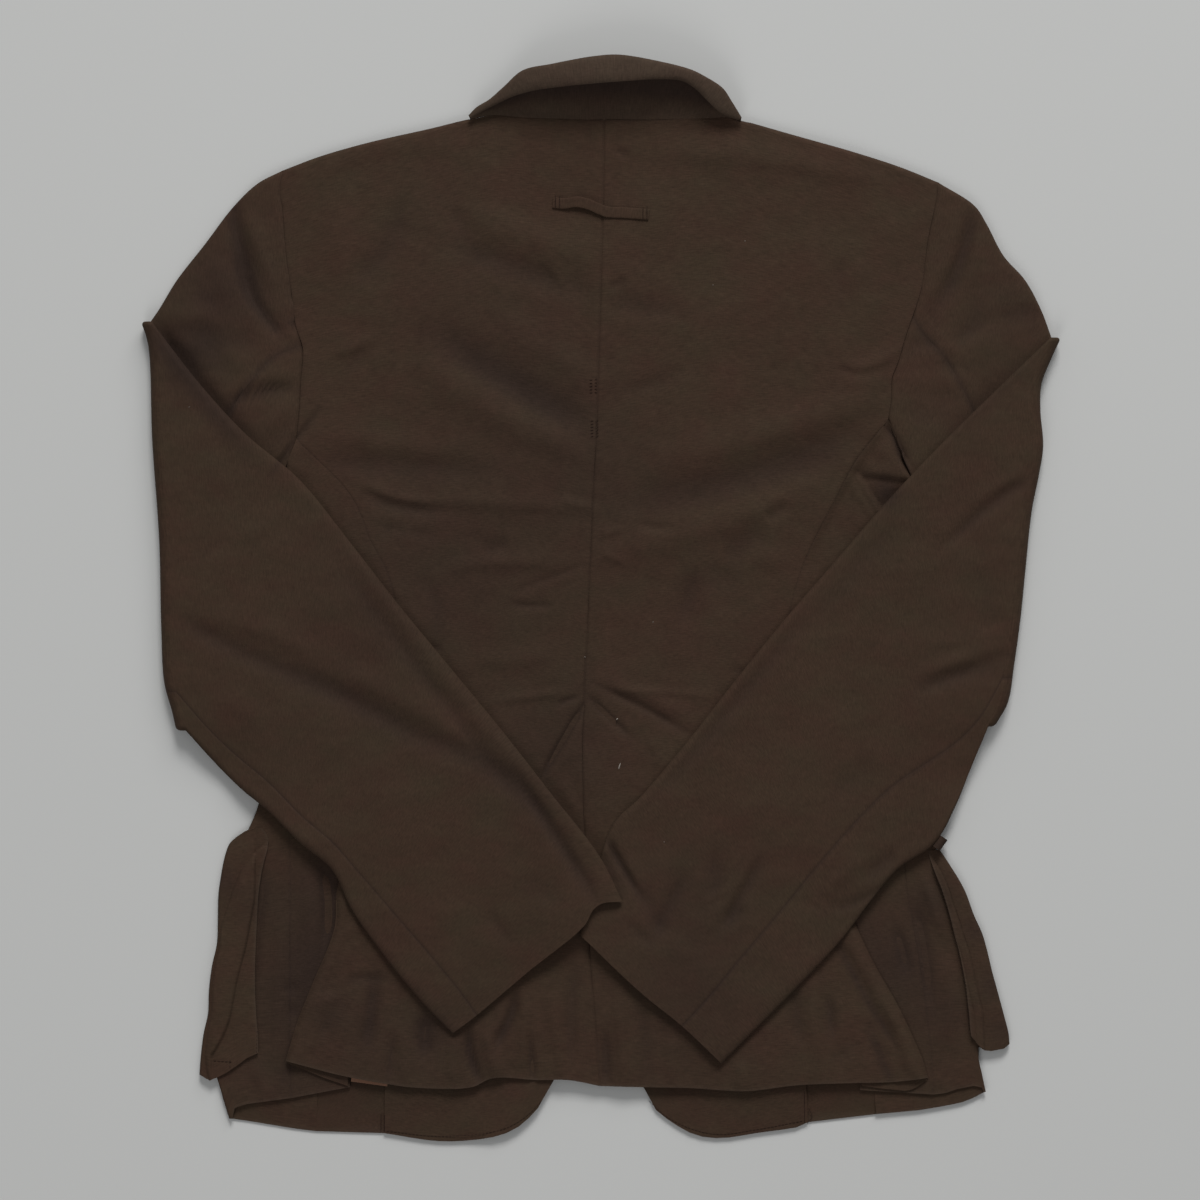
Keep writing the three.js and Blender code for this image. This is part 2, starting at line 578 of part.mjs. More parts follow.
function careTapePiece() {
  const c = careTape;
  const corner = plan(c.x, c.y);
  const along = new THREE.Vector3(Math.cos(c.turn), Math.sin(c.turn), 0);
  const across = new THREE.Vector3(-Math.sin(c.turn), Math.cos(c.turn), 0);
  return wall(steps(4).map((t) => steps(1).map((s) => onTop(corner.clone()
    .addScaledVector(along, t * c.length).addScaledVector(across, s * c.width), height.pleat))));
}

// Small strip rolled up at the waist.
function waistTabPiece() {
  const w = waistTab;
  const middle = plan(w.x, w.y);
  const along = new THREE.Vector3(Math.cos(w.turn), Math.sin(w.turn), 0);
  const across = new THREE.Vector3(-Math.sin(w.turn), Math.cos(w.turn), 0);
  const z = height.side + layer + cloth + seamGap + w.radius - 0.02;
  return wall(steps(3).map((t) => steps(12).map((s) => {
    const angle = Math.PI * (0.2 + 1.6 * s);
    return onTop(middle.clone().addScaledVector(along, (t - 0.5) * w.length)
      .addScaledVector(across, w.radius * Math.cos(angle)), z + w.radius * Math.sin(angle));
  })));
}

const group = new THREE.Group();
const colours = { cloth: 0x3a2e26, tape: 0x7a4a2c };

function add(name, geometry, colour = colours.cloth) {
  const material = new THREE.MeshStandardMaterial({ color: colour, roughness: 0.85 });
  const mesh = new THREE.Mesh(geometry, material);
  mesh.name = name;
  group.add(mesh);
}

for (const side of ['left', 'right']) {
  const [topSleeve, underSleeve] = sleevePieces(side);
  add(`back_${side}`, backPanel(side));
  add(`pleat_${side}`, pleat(side));
  add(`side_back_${side}`, sideBack(side));
  add(`side_front_${side}`, sideFront(side));
  add(`front_${side}`, frontPanel(side));
  add(`facing_${side}`, facing(side));
  add(`top_sleeve_${side}`, topSleeve);
  add(`under_sleeve_${side}`, underSleeve);
  add(`pocket_${side}`, pocket(side));
}
const [collarStand, collarLeaf] = collarPieces();
add('collar_stand', collarStand);
add('collar_leaf', collarLeaf);
add('hanging_loop', hangingLoopPiece());
add('care_tape', careTapePiece(), colours.tape);
add('waist_tab_right', waistTabPiece());

const box = new THREE.Box3().setFromObject(group);
group.children.forEach((mesh) => mesh.geometry.translate(
  -(box.min.x + box.max.x) / 2, -(box.min.y + box.max.y) / 2, -box.min.z));

export default group;
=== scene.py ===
import json
import math
import bpy
import numpy as np
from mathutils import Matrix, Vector

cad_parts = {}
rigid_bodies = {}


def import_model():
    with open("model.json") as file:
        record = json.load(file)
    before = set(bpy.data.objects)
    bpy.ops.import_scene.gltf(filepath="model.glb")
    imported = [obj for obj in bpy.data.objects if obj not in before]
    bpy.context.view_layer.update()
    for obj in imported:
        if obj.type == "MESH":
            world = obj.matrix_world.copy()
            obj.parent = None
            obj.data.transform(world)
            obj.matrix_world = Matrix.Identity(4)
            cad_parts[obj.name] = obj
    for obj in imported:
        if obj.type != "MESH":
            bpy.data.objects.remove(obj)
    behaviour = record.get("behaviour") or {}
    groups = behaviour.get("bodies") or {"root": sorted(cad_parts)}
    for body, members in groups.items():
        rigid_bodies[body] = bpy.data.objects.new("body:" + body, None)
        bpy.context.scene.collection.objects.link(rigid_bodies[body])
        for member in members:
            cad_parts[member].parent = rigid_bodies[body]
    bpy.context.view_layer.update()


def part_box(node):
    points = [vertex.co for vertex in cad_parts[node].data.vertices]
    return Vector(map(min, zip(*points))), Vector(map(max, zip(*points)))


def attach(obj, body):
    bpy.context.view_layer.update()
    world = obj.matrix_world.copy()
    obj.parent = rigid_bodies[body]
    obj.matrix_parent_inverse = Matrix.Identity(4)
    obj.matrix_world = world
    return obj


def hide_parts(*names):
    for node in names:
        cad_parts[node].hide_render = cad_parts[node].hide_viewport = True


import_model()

# Outlines are on a chart of squares, x to the right, y down; heights are in mm above the ground.
chart = {"square": 0.63, "middleX": 600, "middleY": 599}
layers = {"ground": 0.5, "back": 5.2, "side": 3.35, "pleat": 4.7, "backOverPleat": 6.1, "pocketLift": 1.35}
backForm = {"ridge": 0.4, "rise": 1.6, "overPleat": 5.6, "turnStart": 3.1, "hipRoll": 1.0, "hipEdge": 1.7}
frontForm = {"lap": 2.6, "turnStart": 2.3, "facingLift": 1.3}
sleeveForm = {"half": 2.35, "turn": 3.5, "cuffLift": 4.4, "sag": 3.0, "roundOuter": 6.0,
              "roundInner": {"left": 11.0, "right": 5.0}, "flatHalf": 1.9, "sink": 0.9}
pocketForm = {"under": 0.5, "over": 4.1, "sewnDown": 0.6}
collarForm = {"roll": 17.5, "leafRise": 2.6, "leafGap": 1.3, "cloth": 0.9}
# Cloth: olive and rust are the shot cloth's own hues. The purple colour is a darker tint, used as the cloth's
# own hue and as painted shade. The lighter colour after it is used as painted light on the collar and for a
# paler line at hem rims. trough sets the painted shade in the troughs of folds.
cloth = {
    "thickness": 0.7,
    "olive": (0.0326, 0.0226, 0.0132), "rust": (0.0356, 0.0188, 0.0122), "purpleAndShade": (0.0226, 0.0136, 0.0099),
    "paintedLightAndPale": (0.0560, 0.0410, 0.0300),
    "weft": 1300, "warp": 1500, "fleck": 0.26, "sheen": 0.03, "trough": 0.75,
}
hemBand = {"thickness": 1.1, "width": 14, "end": 16, "palenessWidth": 1.4, "paleness": 0.2}
# Seams: width of their dip in mm, and painted shade along them as a share of the purple tint, stronger along
# the sleeves' long seams.
seams = {"width": 0.8, "shade": 0.2, "sleeveShade": 0.6}
light = {"sky": 0.355, "key": 430, "keySize": 2.2, "side": 48, "fill": 40}
camera = {"height": 2.6, "frame": 0.756}


def ease(a, b, v):
    t = np.clip((np.asarray(v, float) - a) / (b - a), 0, 1)
    return t * t * (3 - 2 * t)


def mix(a, b, t):
    return a + (b - a) * t


# Smooth line through points, resampled by length at t from 0 to 1.
def line(points, t):
    p = np.array(points, float)
    if len(p) == 2:
        return p[0] + (p[1] - p[0]) * np.asarray(t)[:, None]
    ends = np.vstack([2 * p[0] - p[1], p, 2 * p[-1] - p[-2]])
    dense = []
    for i in range(1, len(ends) - 2):
        a, b, c, d = ends[i - 1:i + 3]
        k0, k1, k2 = (max(np.linalg.norm(v) ** 0.5, 1e-6) for v in (b - a, c - b, d - c))
        m1 = (b - a) / k0 - (c - a) / (k0 + k1) + (c - b) / k1
        m2 = (c - b) / k1 - (d - b) / (k1 + k2) + (d - c) / k2
        s = np.linspace(0, 1, 24, endpoint=False)[:, None]
        dense.append((2 * s**3 - 3 * s**2 + 1) * b + (s**3 - 2 * s**2 + s) * m1 * k1
                     + (3 * s**2 - 2 * s**3) * c + (s**3 - s**2) * m2 * k1)
    dense = np.vstack(dense + [p[-1:]])
    run = np.concatenate([[0], np.cumsum(np.linalg.norm(np.diff(dense, axis=0), axis=1))])
    run /= run[-1]
    return np.stack([np.interp(t, run, dense[:, k]) for k in range(dense.shape[1])], axis=1)


# Smooth reading of a column of a table by its first column.
def read(rows, column, at):
    rows = np.array(rows, float)
    x, y = rows[:, 0], rows[:, column]
    lo = np.maximum(np.arange(len(x)) - 1, 0)
    hi = np.minimum(np.arange(len(x)) + 1, len(x) - 1)
    slope = (y[hi] - y[lo]) / (x[hi] - x[lo])
    i = np.clip(np.searchsorted(x, at, side="right") - 1, 0, len(x) - 2)
    w = x[i + 1] - x[i]
    t = np.clip((at - x[i]) / w, 0, 1)
    return ((1 + 2 * t) * (1 - t)**2 * y[i] + t * t * (3 - 2 * t) * y[i + 1]
            + w * t * (1 - t)**2 * slope[i] - w * t * t * (1 - t) * slope[i + 1])


# Plan grid filling four rims: start and end rows, near and far columns.
def fill(start, end, near, far):
    def run(p):
        s = np.concatenate([[0], np.cumsum(np.linalg.norm(np.diff(p, axis=0), axis=1))])
        return s / s[-1]
    u0, u1, v0, v1 = run(start), run(end), run(near), run(far)
    v = ((v0 + v1) / 2)[:, None]
    u = u0[None] * (1 - v) + u1[None] * v
    v, u = v[..., None], u[..., None]
    return (start[None] * (1 - v) + end[None] * v + near[:, None] * (1 - u) + far[:, None] * u
            - start[0] * (1 - u) * (1 - v) - start[-1] * u * (1 - v)
            - end[0] * (1 - u) * v - end[-1] * u * v)


# Parts from 0 to 1, closer together at the two rims.
def spread(count, width, rims=(0.35, 0.9, 1.8, 3.2)):
    inner = [r / width for r in rims]
    middle = np.linspace(inner[-1], 1 - inner[-1], count)
    return np.concatenate([[0], inner[:-1], middle, [1 - r for r in inner[-2::-1]], [1]])


pleatEnd = 1052
# Body below the armholes. Columns: level, then chart x of centre seam, back edge, side-back edge under
# the pleat, side seam, side fold, front seam, facing edge, front edge.
columnOf = {"centre": 1, "back": 2, "tuck": 3, "seam": 4, "fold": 5, "front": 6, "facing": 7, "edge": 8}
body = {
    "left": {
        "rows": [
            (440, 596, 297, 297, 287, 282, 297, 436, 617), (493, 593, 349, 349, 287, 277, 318, 430, 617),
            (541, 591, 371, 371, 287, 273, 328, 427, 617), (580, 589, 390, 390, 287, 270, 333, 424, 617),
            (640, 587, 398, 398, 287, 266, 338, 418, 616), (720, 583, 390, 390, 288, 263, 340, 412, 616),
            (800, 583, 366, 366, 289, 260, 338, 405, 615), (850, 585, 348, 348, 290, 240, 335, 401, 614),
            (890, 586, 337, 338, 290, 230, 333, 398, 611), (930, 588, 334, 341, 290, 227, 330, 395, 607),
            (985, 592, 312, 344, 290, 220, 325, 391, 597), (1020, 595, 298, 346, 290, 215, 322, 389, 586),
            (1060, 598, 286, 348, 290, 212, 319, 386, 570)],
        "armhole": [(283, 171), (280, 190), (283, 211), (286, 251), (293, 303), (296, 326), (303, 349),
                    (301, 383), (300, 406), (297, 438)],
        "underarm": {"back": (297, 438), "seam": (288, 460), "fold": (279, 482), "side": (283, 487)},
        "top": [(604, 120), (531, 117), (498, 115), (468, 120), (431, 129), (369, 143), (320, 157),
                (283, 171)],
        "neckline": [(470, 122), (492, 165), (525, 220), (565, 280), (616, 330)],
        "backHem": [(600, 1086), (568, 1080), (536, 1080), (493, 1078), (472, 1087), (422, 1088), (387, 1084),
                    (339, 1075), (312, 1068), (286, 1061)],
        "pleatHem": [(287, 1063), (302, 1069), (325, 1078), (348, 1086)],
        "sideHem": {"tuck": (350, 1087), "seam": (291, 1098), "fold": (230, 1116), "front": (316, 1131)},
        "sideHemLine": ((228, 230.5, 236.5, 247, 265, 291), (1116, 1112, 1107, 1104, 1101.5, 1098)),
        "underHemLine": ((228, 250, 295, 316), (1118, 1121, 1128.5, 1131)),
        "frontHem": [(316, 1131), (379, 1135), (438, 1141), (472, 1140), (501, 1135), (521, 1125),
                     (538, 1108)],
        "facing": (384, 1133), "pleatTop": 900,
    },
    "right": {
        "rows": [
            (420, 596, 888, 888, 893, 900, 888, 746, 583), (458, 595, 858, 858, 897, 906, 878, 753, 583),
            (475, 594, 848, 848, 900, 915, 875, 755, 583),
            (495, 593, 838, 838, 902, 920, 872, 758, 583), (545, 591, 812, 812, 905, 925, 864, 766, 583),
            (580, 589, 798, 798, 906, 931, 858, 771, 583), (620, 588, 789, 789, 905, 933, 854, 777, 583),
            (690, 584, 787, 787, 904, 937, 851, 786, 584), (780, 583, 800, 800, 903, 939, 850, 796, 585),
            (850, 585, 822, 822, 904, 936, 853, 798, 587), (890, 587, 840, 838, 907, 952, 857, 799, 590),
            (930, 589, 858, 846, 914, 967, 861, 800, 595), (965, 591, 875, 850, 920, 978, 864, 801, 600),
            (1000, 593, 895, 855, 925, 984, 867, 802, 609), (1035, 596, 912, 858, 929, 979, 870, 804, 617),
            (1060, 598, 923, 860, 932, 978, 872, 805, 626)],
        "armhole": [(938, 183), (936, 200), (928, 239), (921, 289), (905, 338), (898, 362), (892, 378),
                    (891, 400), (888, 420)],
        "underarm": {"back": (888, 420), "seam": (896, 433.5), "fold": (904, 447), "side": (903, 453)},
        "top": [(604, 120), (660, 120), (689, 118), (729, 118), (742, 121), (795, 136), (855, 153),
                (901, 168), (938, 183)],
        "neckline": [(742, 123), (716, 165), (680, 220), (640, 280), (584, 330)],
        "backHem": [(600, 1086), (634, 1087), (689, 1088), (746, 1091), (799, 1085), (855, 1083), (892, 1082),
                    (928, 1078)],
        "pleatHem": [(927, 1080), (910, 1090), (888, 1089), (862, 1086)],
        "sideHem": {"tuck": (860, 1090), "seam": (934, 1094.5), "fold": (985, 1090), "front": (876, 1114)},
        "sideHemLine": ((934, 946, 957, 974, 984), (1094.5, 1092.9, 1089, 1085.7, 1088)),
        "underHemLine": ((876, 920, 949, 967, 984), (1114, 1110, 1105, 1101, 1092)),
        "frontHem": [(876, 1114), (805, 1125), (756, 1133), (721, 1138), (696, 1135), (673, 1123),
                     (656, 1110)],
        "facing": (808, 1122), "pleatTop": 930,
    },
}
centreTop = [(604, 120), (603, 193), (601, 272), (598, 372), (596, 438)]

# Soft folds of the back. Columns: x, y of start, middle and end, width, height and, if not 1, how much
# steeper it is below.
backFolds = [
    (290, 448, 306, 428, 324, 404, 3.4, -1.8),
    (456, 205, 520, 234, 612, 262, 16, 2.0), (436, 240, 515, 268, 606, 298, 13, -1.6),
    (416, 322, 512, 384, 606, 440, 18, -2.6), (478, 308, 545, 350, 606, 392, 14, 1.1),
    (400, 350, 505, 418, 606, 458, 17, 2.1), (320, 432, 395, 446, 480, 452, 13, 1.2),
    (310, 460, 400, 466, 520, 476, 13, -1.4), (332, 352, 352, 348, 378, 336, 7, 1.1, 1.2),
    (350, 380, 356, 360, 372, 345, 6, -0.8), (404, 192, 386, 250, 335, 292, 12, -1.3),
    (452, 205, 462, 222, 470, 245, 9, -1.1), (540, 254, 555, 272, 570, 294, 6, 0.8, 1.3),
    (606, 296, 640, 306, 690, 312, 11, -1.2), (608, 288, 616, 285, 626, 278, 4, -0.9),
    (616, 150, 622, 153, 630, 158, 4, -1.0), (600, 395, 650, 385, 700, 365, 8, -0.7),
    (620, 154, 760, 158, 905, 188, 15, 1.5, 1.2), (300, 186, 370, 152, 470, 142, 12, 1.0, 1.2),
    (882, 388, 800, 424, 630, 470, 18, 2.2, 1.1), (866, 424, 760, 474, 600, 507, 18, -2.2),
    (842, 362, 870, 366, 902, 344, 6, 1.4, 1.3), (840, 384, 862, 382, 888, 380, 7, 0.9, 1.2),
    (838, 372, 846, 370, 852, 368, 5, -1.0), (580, 556, 700, 530, 835, 478, 15, 1.6),
    (722, 552, 742, 545, 766, 520, 14, -1.3), (763, 520, 776, 512, 790, 500, 6, -1.6),
    (600, 553, 612, 558, 630, 566, 6, 0.9, 1.4), (636, 524, 655, 528, 676, 528, 5, -0.9),
    (600, 535, 612, 532, 624, 527, 4, 0.8), (694, 566, 690, 595, 680, 628, 9, -1.4),
    (700, 575, 720, 580, 745, 590, 14, -1.0), (745, 552, 765, 560, 790, 558, 10, 1.0),
    (356, 480, 395, 497, 440, 502, 6, 1.2, 1.6), (360, 490, 400, 508, 456, 512, 6, -1.1),
    (410, 500, 500, 504, 600, 512, 9, 1.1, 1.3), (556, 498, 575, 504, 594, 508, 5, 0.8, 1.2),
    (366, 526, 405, 532, 444, 540, 6, -0.6),
    (480, 552, 496, 548, 512, 545, 10, -0.9), (440, 574, 500, 562, 584, 568, 9, 1.1, 1.3),
    (510, 594, 550, 578, 592, 562, 4.5, -0.8), (506, 603, 530, 606, 558, 605, 3.8, -1.0),
    (426, 580, 438, 612, 436, 650, 8, -1.0), (425, 650, 436, 648, 446, 650, 4, -1.0),
    (455, 664, 510, 660, 575, 655, 10, 0.9, 1.2), (485, 702, 530, 697, 575, 690, 5, 0.9, 1.2),
    (556, 706, 566, 701, 582, 696, 3.5, -1.2), (588, 698, 562, 742, 536, 788, 4.0, -2.6),
    (592, 712, 574, 744, 556, 780, 8, 0.9), (588, 682, 640, 706, 702, 742, 4.4, -1.5),
    (598, 678, 645, 696, 700, 722, 8, 1.0), (586, 694, 608, 716, 636, 742, 3.8, -1.5),
    (600, 690, 660, 692, 722, 697, 4, 0.7), (648, 738, 656, 752, 662, 770, 6, 0.8, 1.2),
    (586, 640, 587, 670, 582, 700, 5, -0.7), (730, 668, 740, 672, 752, 676, 5, -0.8),
    (580, 740, 582, 770, 586, 810, 8, 0.8), (556, 770, 570, 800, 584, 826, 7, 0.8),
    (845, 258, 838, 280, 845, 310, 8, -0.6), (330, 200, 345, 260, 340, 330, 16, 0.7),
]
# Flutes of the hem, between the hips.
flutes = [
    (352, 925, 334, 985, 300, 1058, 9, 1.4), (330, 1000, 322, 1020, 318, 1040, 10, -1.2),
    (374, 980, 371, 1015, 366, 1045, 9, -1.6), (392, 1036, 391, 1058, 388, 1082, 4, -1.0),
    (400, 1030, 404, 1055, 405, 1086, 8, 0.9), (425, 1016, 425, 1035, 424, 1056, 9, -1.4),
    (455, 1036, 452, 1060, 452, 1088, 10, 0.9), (472, 1034, 471, 1055, 482, 1080, 5, -2.2),
    (486, 1030, 492, 1056, 498, 1078, 8, 1.6), (514, 996, 508, 1022, 492, 1046, 6, -1.8),
    (524, 1000, 526, 1030, 522, 1060, 8, 1.2), (529, 1036, 531, 1056, 533, 1080, 4.5, -1.6),
    (552, 990, 556, 1030, 562, 1078, 8, 0.9), (575, 970, 572, 1010, 570, 1060, 8, -0.8),
    (605, 1035, 606, 1060, 606, 1084, 7, -1.3), (620, 1000, 622, 1040, 626, 1086, 8, 0.9),
    (672, 1040, 672, 1060, 672, 1084, 6, 1.0), (640, 1010, 646, 1045, 645, 1085, 9, -0.6),
    (740, 1062, 742, 1075, 742, 1090, 8, 0.8), (792, 985, 796, 1010, 800, 1040, 7, -0.8),
    (812, 975, 814, 1030, 812, 1080, 9, 0.9), (826, 998, 830, 1015, 830, 1036, 6, -1.3),
    (855, 1040, 846, 1050, 836, 1060, 8, -0.7), (870, 1028, 880, 1056, 892, 1082, 6, -1.6),
    (896, 1040, 906, 1056, 912, 1078, 7, 1.2), (345, 980, 365, 978, 385, 980, 6, -0.8),
]
fluteScale = {"longer": 0.16, "narrower": 0.8, "higher": 1.5, "again": 1.15}


# A flute drawn longer at both ends, narrower and higher than its row says.
def stretched(row):
    x0, y0, xm, ym, x1, y1, wide, high = row
    dx, dy = (x1 - x0) * fluteScale["longer"], (y1 - y0) * fluteScale["longer"]
    high = round(round(high * fluteScale["higher"], 1) * fluteScale["again"], 1)
    return (round(x0 - dx), round(y0 - dy), xm, ym, round(x1 + dx), round(y1 + dy),
            round(wide * fluteScale["narrower"], 1), high)


hemFolds = [stretched(row) for row in flutes] + [
    (826, 916, 866, 998, 912, 1066, 4, -2.8), (838, 924, 876, 992, 915, 1056, 5, 1.5)]
# Folds of each upper sleeve and of each lower sleeve.
upperFolds = {
    "left": [
        (232, 186, 240, 248, 264, 312, 8, -3.2), (236, 258, 256, 304, 290, 342, 5, -3.2),
        (246, 212, 262, 256, 280, 300, 8, 1.4, 1.6), (144, 312, 196, 386, 262, 462, 14, -3.0),
        (268, 331, 286, 322, 304, 327, 2.6, -2.4),
        (156, 330, 178, 356, 205, 372, 9, -1.2), (180, 350, 230, 342, 262, 346, 9, -0.9),
        (294, 290, 285, 308, 278, 332, 2, -1.0), (279, 206, 268, 214, 258, 220, 5, -0.8),
        (274, 226, 279, 229, 284, 228, 4, -0.7), (160, 317, 190, 319, 222, 322, 6, 1.6, 1.8),
        (165, 327, 195, 331, 226, 330, 7, -1.2), (226, 408, 258, 392, 304, 390, 5, -2.8),
        (232, 392, 262, 380, 296, 378, 8, 1.2, 1.4), (262, 434, 276, 418, 294, 405, 7, 1.2),
        (205, 352, 222, 366, 236, 388, 9, -0.8), (205, 255, 222, 280, 232, 310, 10, 1.0),
        (190, 290, 206, 300, 226, 304, 8, -0.8), (268, 450, 280, 440, 292, 424, 6, -0.8),
        (276, 330, 284, 318, 293, 300, 5, 0.8), (268, 482, 284, 457, 300, 430, 3.2, -2.4)],
    "right": [
        (970, 202, 962, 256, 930, 318, 9, -2.6), (960, 206, 950, 258, 924, 308, 8, 1.4, 1.2),
        (978, 226, 976, 262, 960, 300, 9, 1.2, 1.4), (985, 296, 968, 330, 950, 356, 9, -0.9),
        (1000, 300, 990, 330, 975, 360, 11, 0.9), (1046, 316, 1000, 318, 950, 346, 7, -1.2),
        (925, 330, 950, 345, 990, 352, 8, 0.7),
        (905, 350, 925, 344, 950, 348, 6, -0.7), (900, 385, 930, 380, 975, 384, 8, 0.8),
        (1036, 350, 990, 394, 930, 456, 8, -1.0), (915, 325, 928, 345, 938, 358, 5, -0.8),
        (938, 356, 946, 366, 956, 378, 3, -0.6), (920, 296, 932, 318, 940, 344, 4, -0.5),
        (905, 362, 940, 352, 1000, 340, 5, 0.6, 1.5), (908, 400, 940, 396, 985, 398, 5, -0.6),
        (905, 372, 950, 366, 1010, 372, 4, -0.5), (895, 408, 930, 420, 955, 425, 6, -0.6),
        (1020, 300, 1030, 320, 1040, 340, 8, -0.7), (905, 420, 930, 410, 960, 402, 8, -0.6),
        (882, 418, 896, 441, 913, 470, 3.5, -2.0), (896, 348, 915, 350, 936, 345, 4, -1.0)],
}
lowerFolds = {
    "left": [
        (176, 616, 232, 648, 310, 682, 9, -2.0), (262, 662, 350, 700, 444, 752, 11, -2.4),
        (396, 734, 480, 762, 540, 820, 11, -1.8), (196, 612, 260, 630, 330, 664, 14, 1.6, 1.6),
        (330, 664, 400, 700, 470, 740, 14, 1.5, 1.5), (505, 760, 556, 836, 604, 912, 7, -2.6),
        (560, 800, 586, 836, 608, 872, 8, 1.2), (330, 552, 420, 672, 540, 822, 8, -1.2),
        (490, 908, 500, 930, 515, 948, 7, -0.9),
        (340, 540, 430, 656, 560, 822, 9, 0.8), (170, 420, 200, 455, 240, 500, 18, 0.9),
        (225, 545, 262, 528, 290, 508, 6, 0.7, 1.3), (190, 560, 215, 548, 240, 540, 7, -0.5),
        (190, 690, 230, 700, 280, 735, 12, 0.7), (300, 720, 370, 790, 420, 860, 26, 0.8),
        (520, 870, 540, 890, 566, 900, 12, -0.8), (360, 620, 380, 640, 392, 664, 9, -0.4),
        (250, 640, 262, 628, 290, 622, 8, 0.5), (420, 900, 460, 930, 500, 960, 18, 0.6),
        (165, 365, 176, 400, 180, 450, 9, -0.5), (205, 420, 215, 470, 212, 530, 12, 0.5)],
    "right": [
        (1036, 478, 990, 506, 916, 572, 5.5, -1.7), (1024, 474, 1000, 485, 955, 515, 6, 0.9, 1.3),
        (1030, 652, 980, 664, 900, 704, 6, -1.3), (1014, 650, 975, 652, 925, 676, 6, 0.8, 1.2),
        (822, 596, 735, 705, 640, 815, 8, -1.2),
        (1012, 632, 970, 640, 920, 650, 8, 0.8, 1.3), (1008, 668, 960, 676, 900, 690, 8, -1.1),
        (1010, 655, 960, 662, 910, 676, 8, 0.9, 1.3), (603, 832, 621, 864, 645, 904, 3.6, -3.0),
        (600, 850, 612, 872, 628, 900, 10, -1.3), (898, 856, 882, 864, 862, 886, 7, -1.6),
        (872, 852, 852, 866, 838, 884, 6, 0.8), (806, 903, 817, 908, 829, 916, 3, -0.6),
        (766, 852, 744, 890, 716, 938, 6, -1.8), (748, 868, 730, 895, 708, 925, 8, 1.0),
        (690, 868, 670, 905, 650, 948, 7, -1.6), (708, 850, 716, 880, 712, 912, 9, -1.3),
        (640, 880, 650, 910, 668, 936, 8, -1.2), (725, 925, 735, 915, 745, 905, 7, -1.2),
        (620, 915, 640, 935, 658, 948, 6, -0.8), (700, 905, 716, 895, 730, 885, 4, 0.8),
        (822, 908, 856, 902, 888, 882, 5, -1.4), (846, 872, 834, 884, 826, 900, 5, 0.9),
        (960, 540, 930, 560, 890, 600, 16, 0.8),
        (900, 520, 860, 566, 800, 640, 9, -0.6), (975, 560, 985, 600, 990, 640, 12, -0.5),
        (860, 700, 820, 740, 790, 790, 18, 0.7), (1020, 520, 1008, 545, 1004, 575, 9, 0.6),
        (880, 760, 850, 780, 820, 800, 12, -0.5), (650, 940, 690, 960, 720, 990, 14, 0.6)],
}
# Folds of the side panels: those of the hips, drawn higher and deeper than their rows say, then the rest.
hipFolds = [
    (300, 870, 312, 930, 300, 1000, 9, 0.9), (318, 860, 328, 900, 322, 960, 8, -0.8),
    (264, 866, 258, 920, 248, 1030, 7, -0.7), (280, 900, 280, 980, 276, 1060, 7, 0.9),
    (300, 1030, 290, 1060, 280, 1090, 7, -0.5), (255, 1065, 262, 1085, 266, 1104, 8, 0.6),
    (280, 990, 290, 988, 300, 988, 5, -0.6), (286, 1012, 292, 1011, 299, 1010, 3, -0.6),
    (922, 872, 934, 905, 944, 940, 7, 1.4), (912, 900, 924, 950, 932, 1025, 7, -0.8),
    (893, 926, 902, 950, 908, 980, 7, -0.8), (946, 955, 950, 1000, 948, 1060, 8, 1.0),
]
hipScale = {"ridge": 1.6, "trough": 2.4}
sideFolds = [(258, 846, 240, 872, 220, 926, 3, -1.6)]
sideFolds += [(*row, round(high * hipScale["ridge" if high > 0 else "trough"], 1)) for *row, high in hipFolds]
sideFolds += [
    (872, 402, 895, 440, 924, 486, 3.6, -3.0), (892, 440, 904, 462, 920, 484, 3.6, -2.6),
    (842, 470, 872, 477, 902, 482, 5, -1.0), (894, 412, 866, 444, 836, 496, 7, 2.2),
    (856, 462, 826, 510, 800, 572, 6, 1.8), (840, 466, 862, 500, 884, 534, 5, 0.8),
    (875, 430, 880, 445, 886, 462, 6, 0.8),
]


# Sum of folds on a plan: each follows its bend, fades at both ends and is steeper on its lower side.
def folded(table, xy):
    out = np.zeros(xy.shape[:-1])
    x, y = xy[..., 0], xy[..., 1]
    for x0, y0, xm, ym, x1, y1, wide, high, *steep in table:
        reach = 3.2 * wide
        near = ((x > min(x0, xm, x1) - reach) & (x < max(x0, xm, x1) + reach)
                & (y > min(y0, ym, y1) - reach) & (y < max(y0, ym, y1) + reach))
        if not near.any():
            continue
        px, py = x[near], y[near]
        s = np.linspace(0, 1, 9)
        cx = (1 - s)**2 * x0 + 2 * s * (1 - s) * (2 * xm - (x0 + x1) / 2) + s * s * x1
        cy = (1 - s)**2 * y0 + 2 * s * (1 - s) * (2 * ym - (y0 + y1) / 2) + s * s * y1
        best = np.full(px.shape, 1e9)
        place, across = np.zeros(px.shape), np.zeros(px.shape)
        for k in range(8):
            dx, dy = cx[k + 1] - cx[k], cy[k + 1] - cy[k]
            t = np.clip(((px - cx[k]) * dx + (py - cy[k]) * dy) / (dx * dx + dy * dy), 0, 1)
            gx, gy = px - cx[k] - t * dx, py - cy[k] - t * dy
            d = np.hypot(gx, gy)
            closer = d < best
            best = np.where(closer, d, best)
            place = np.where(closer, (k + t) / 8, place)
            across = np.where(closer, gy, across)
        width = np.where(across > 0, wide / (steep or [1])[0], wide)
        fade = ease(-0.06, 0.34, place) * ease(-0.06, 0.34, 1 - place)
        out[near] += high * np.exp(-(best / width)**2) * fade
    return out


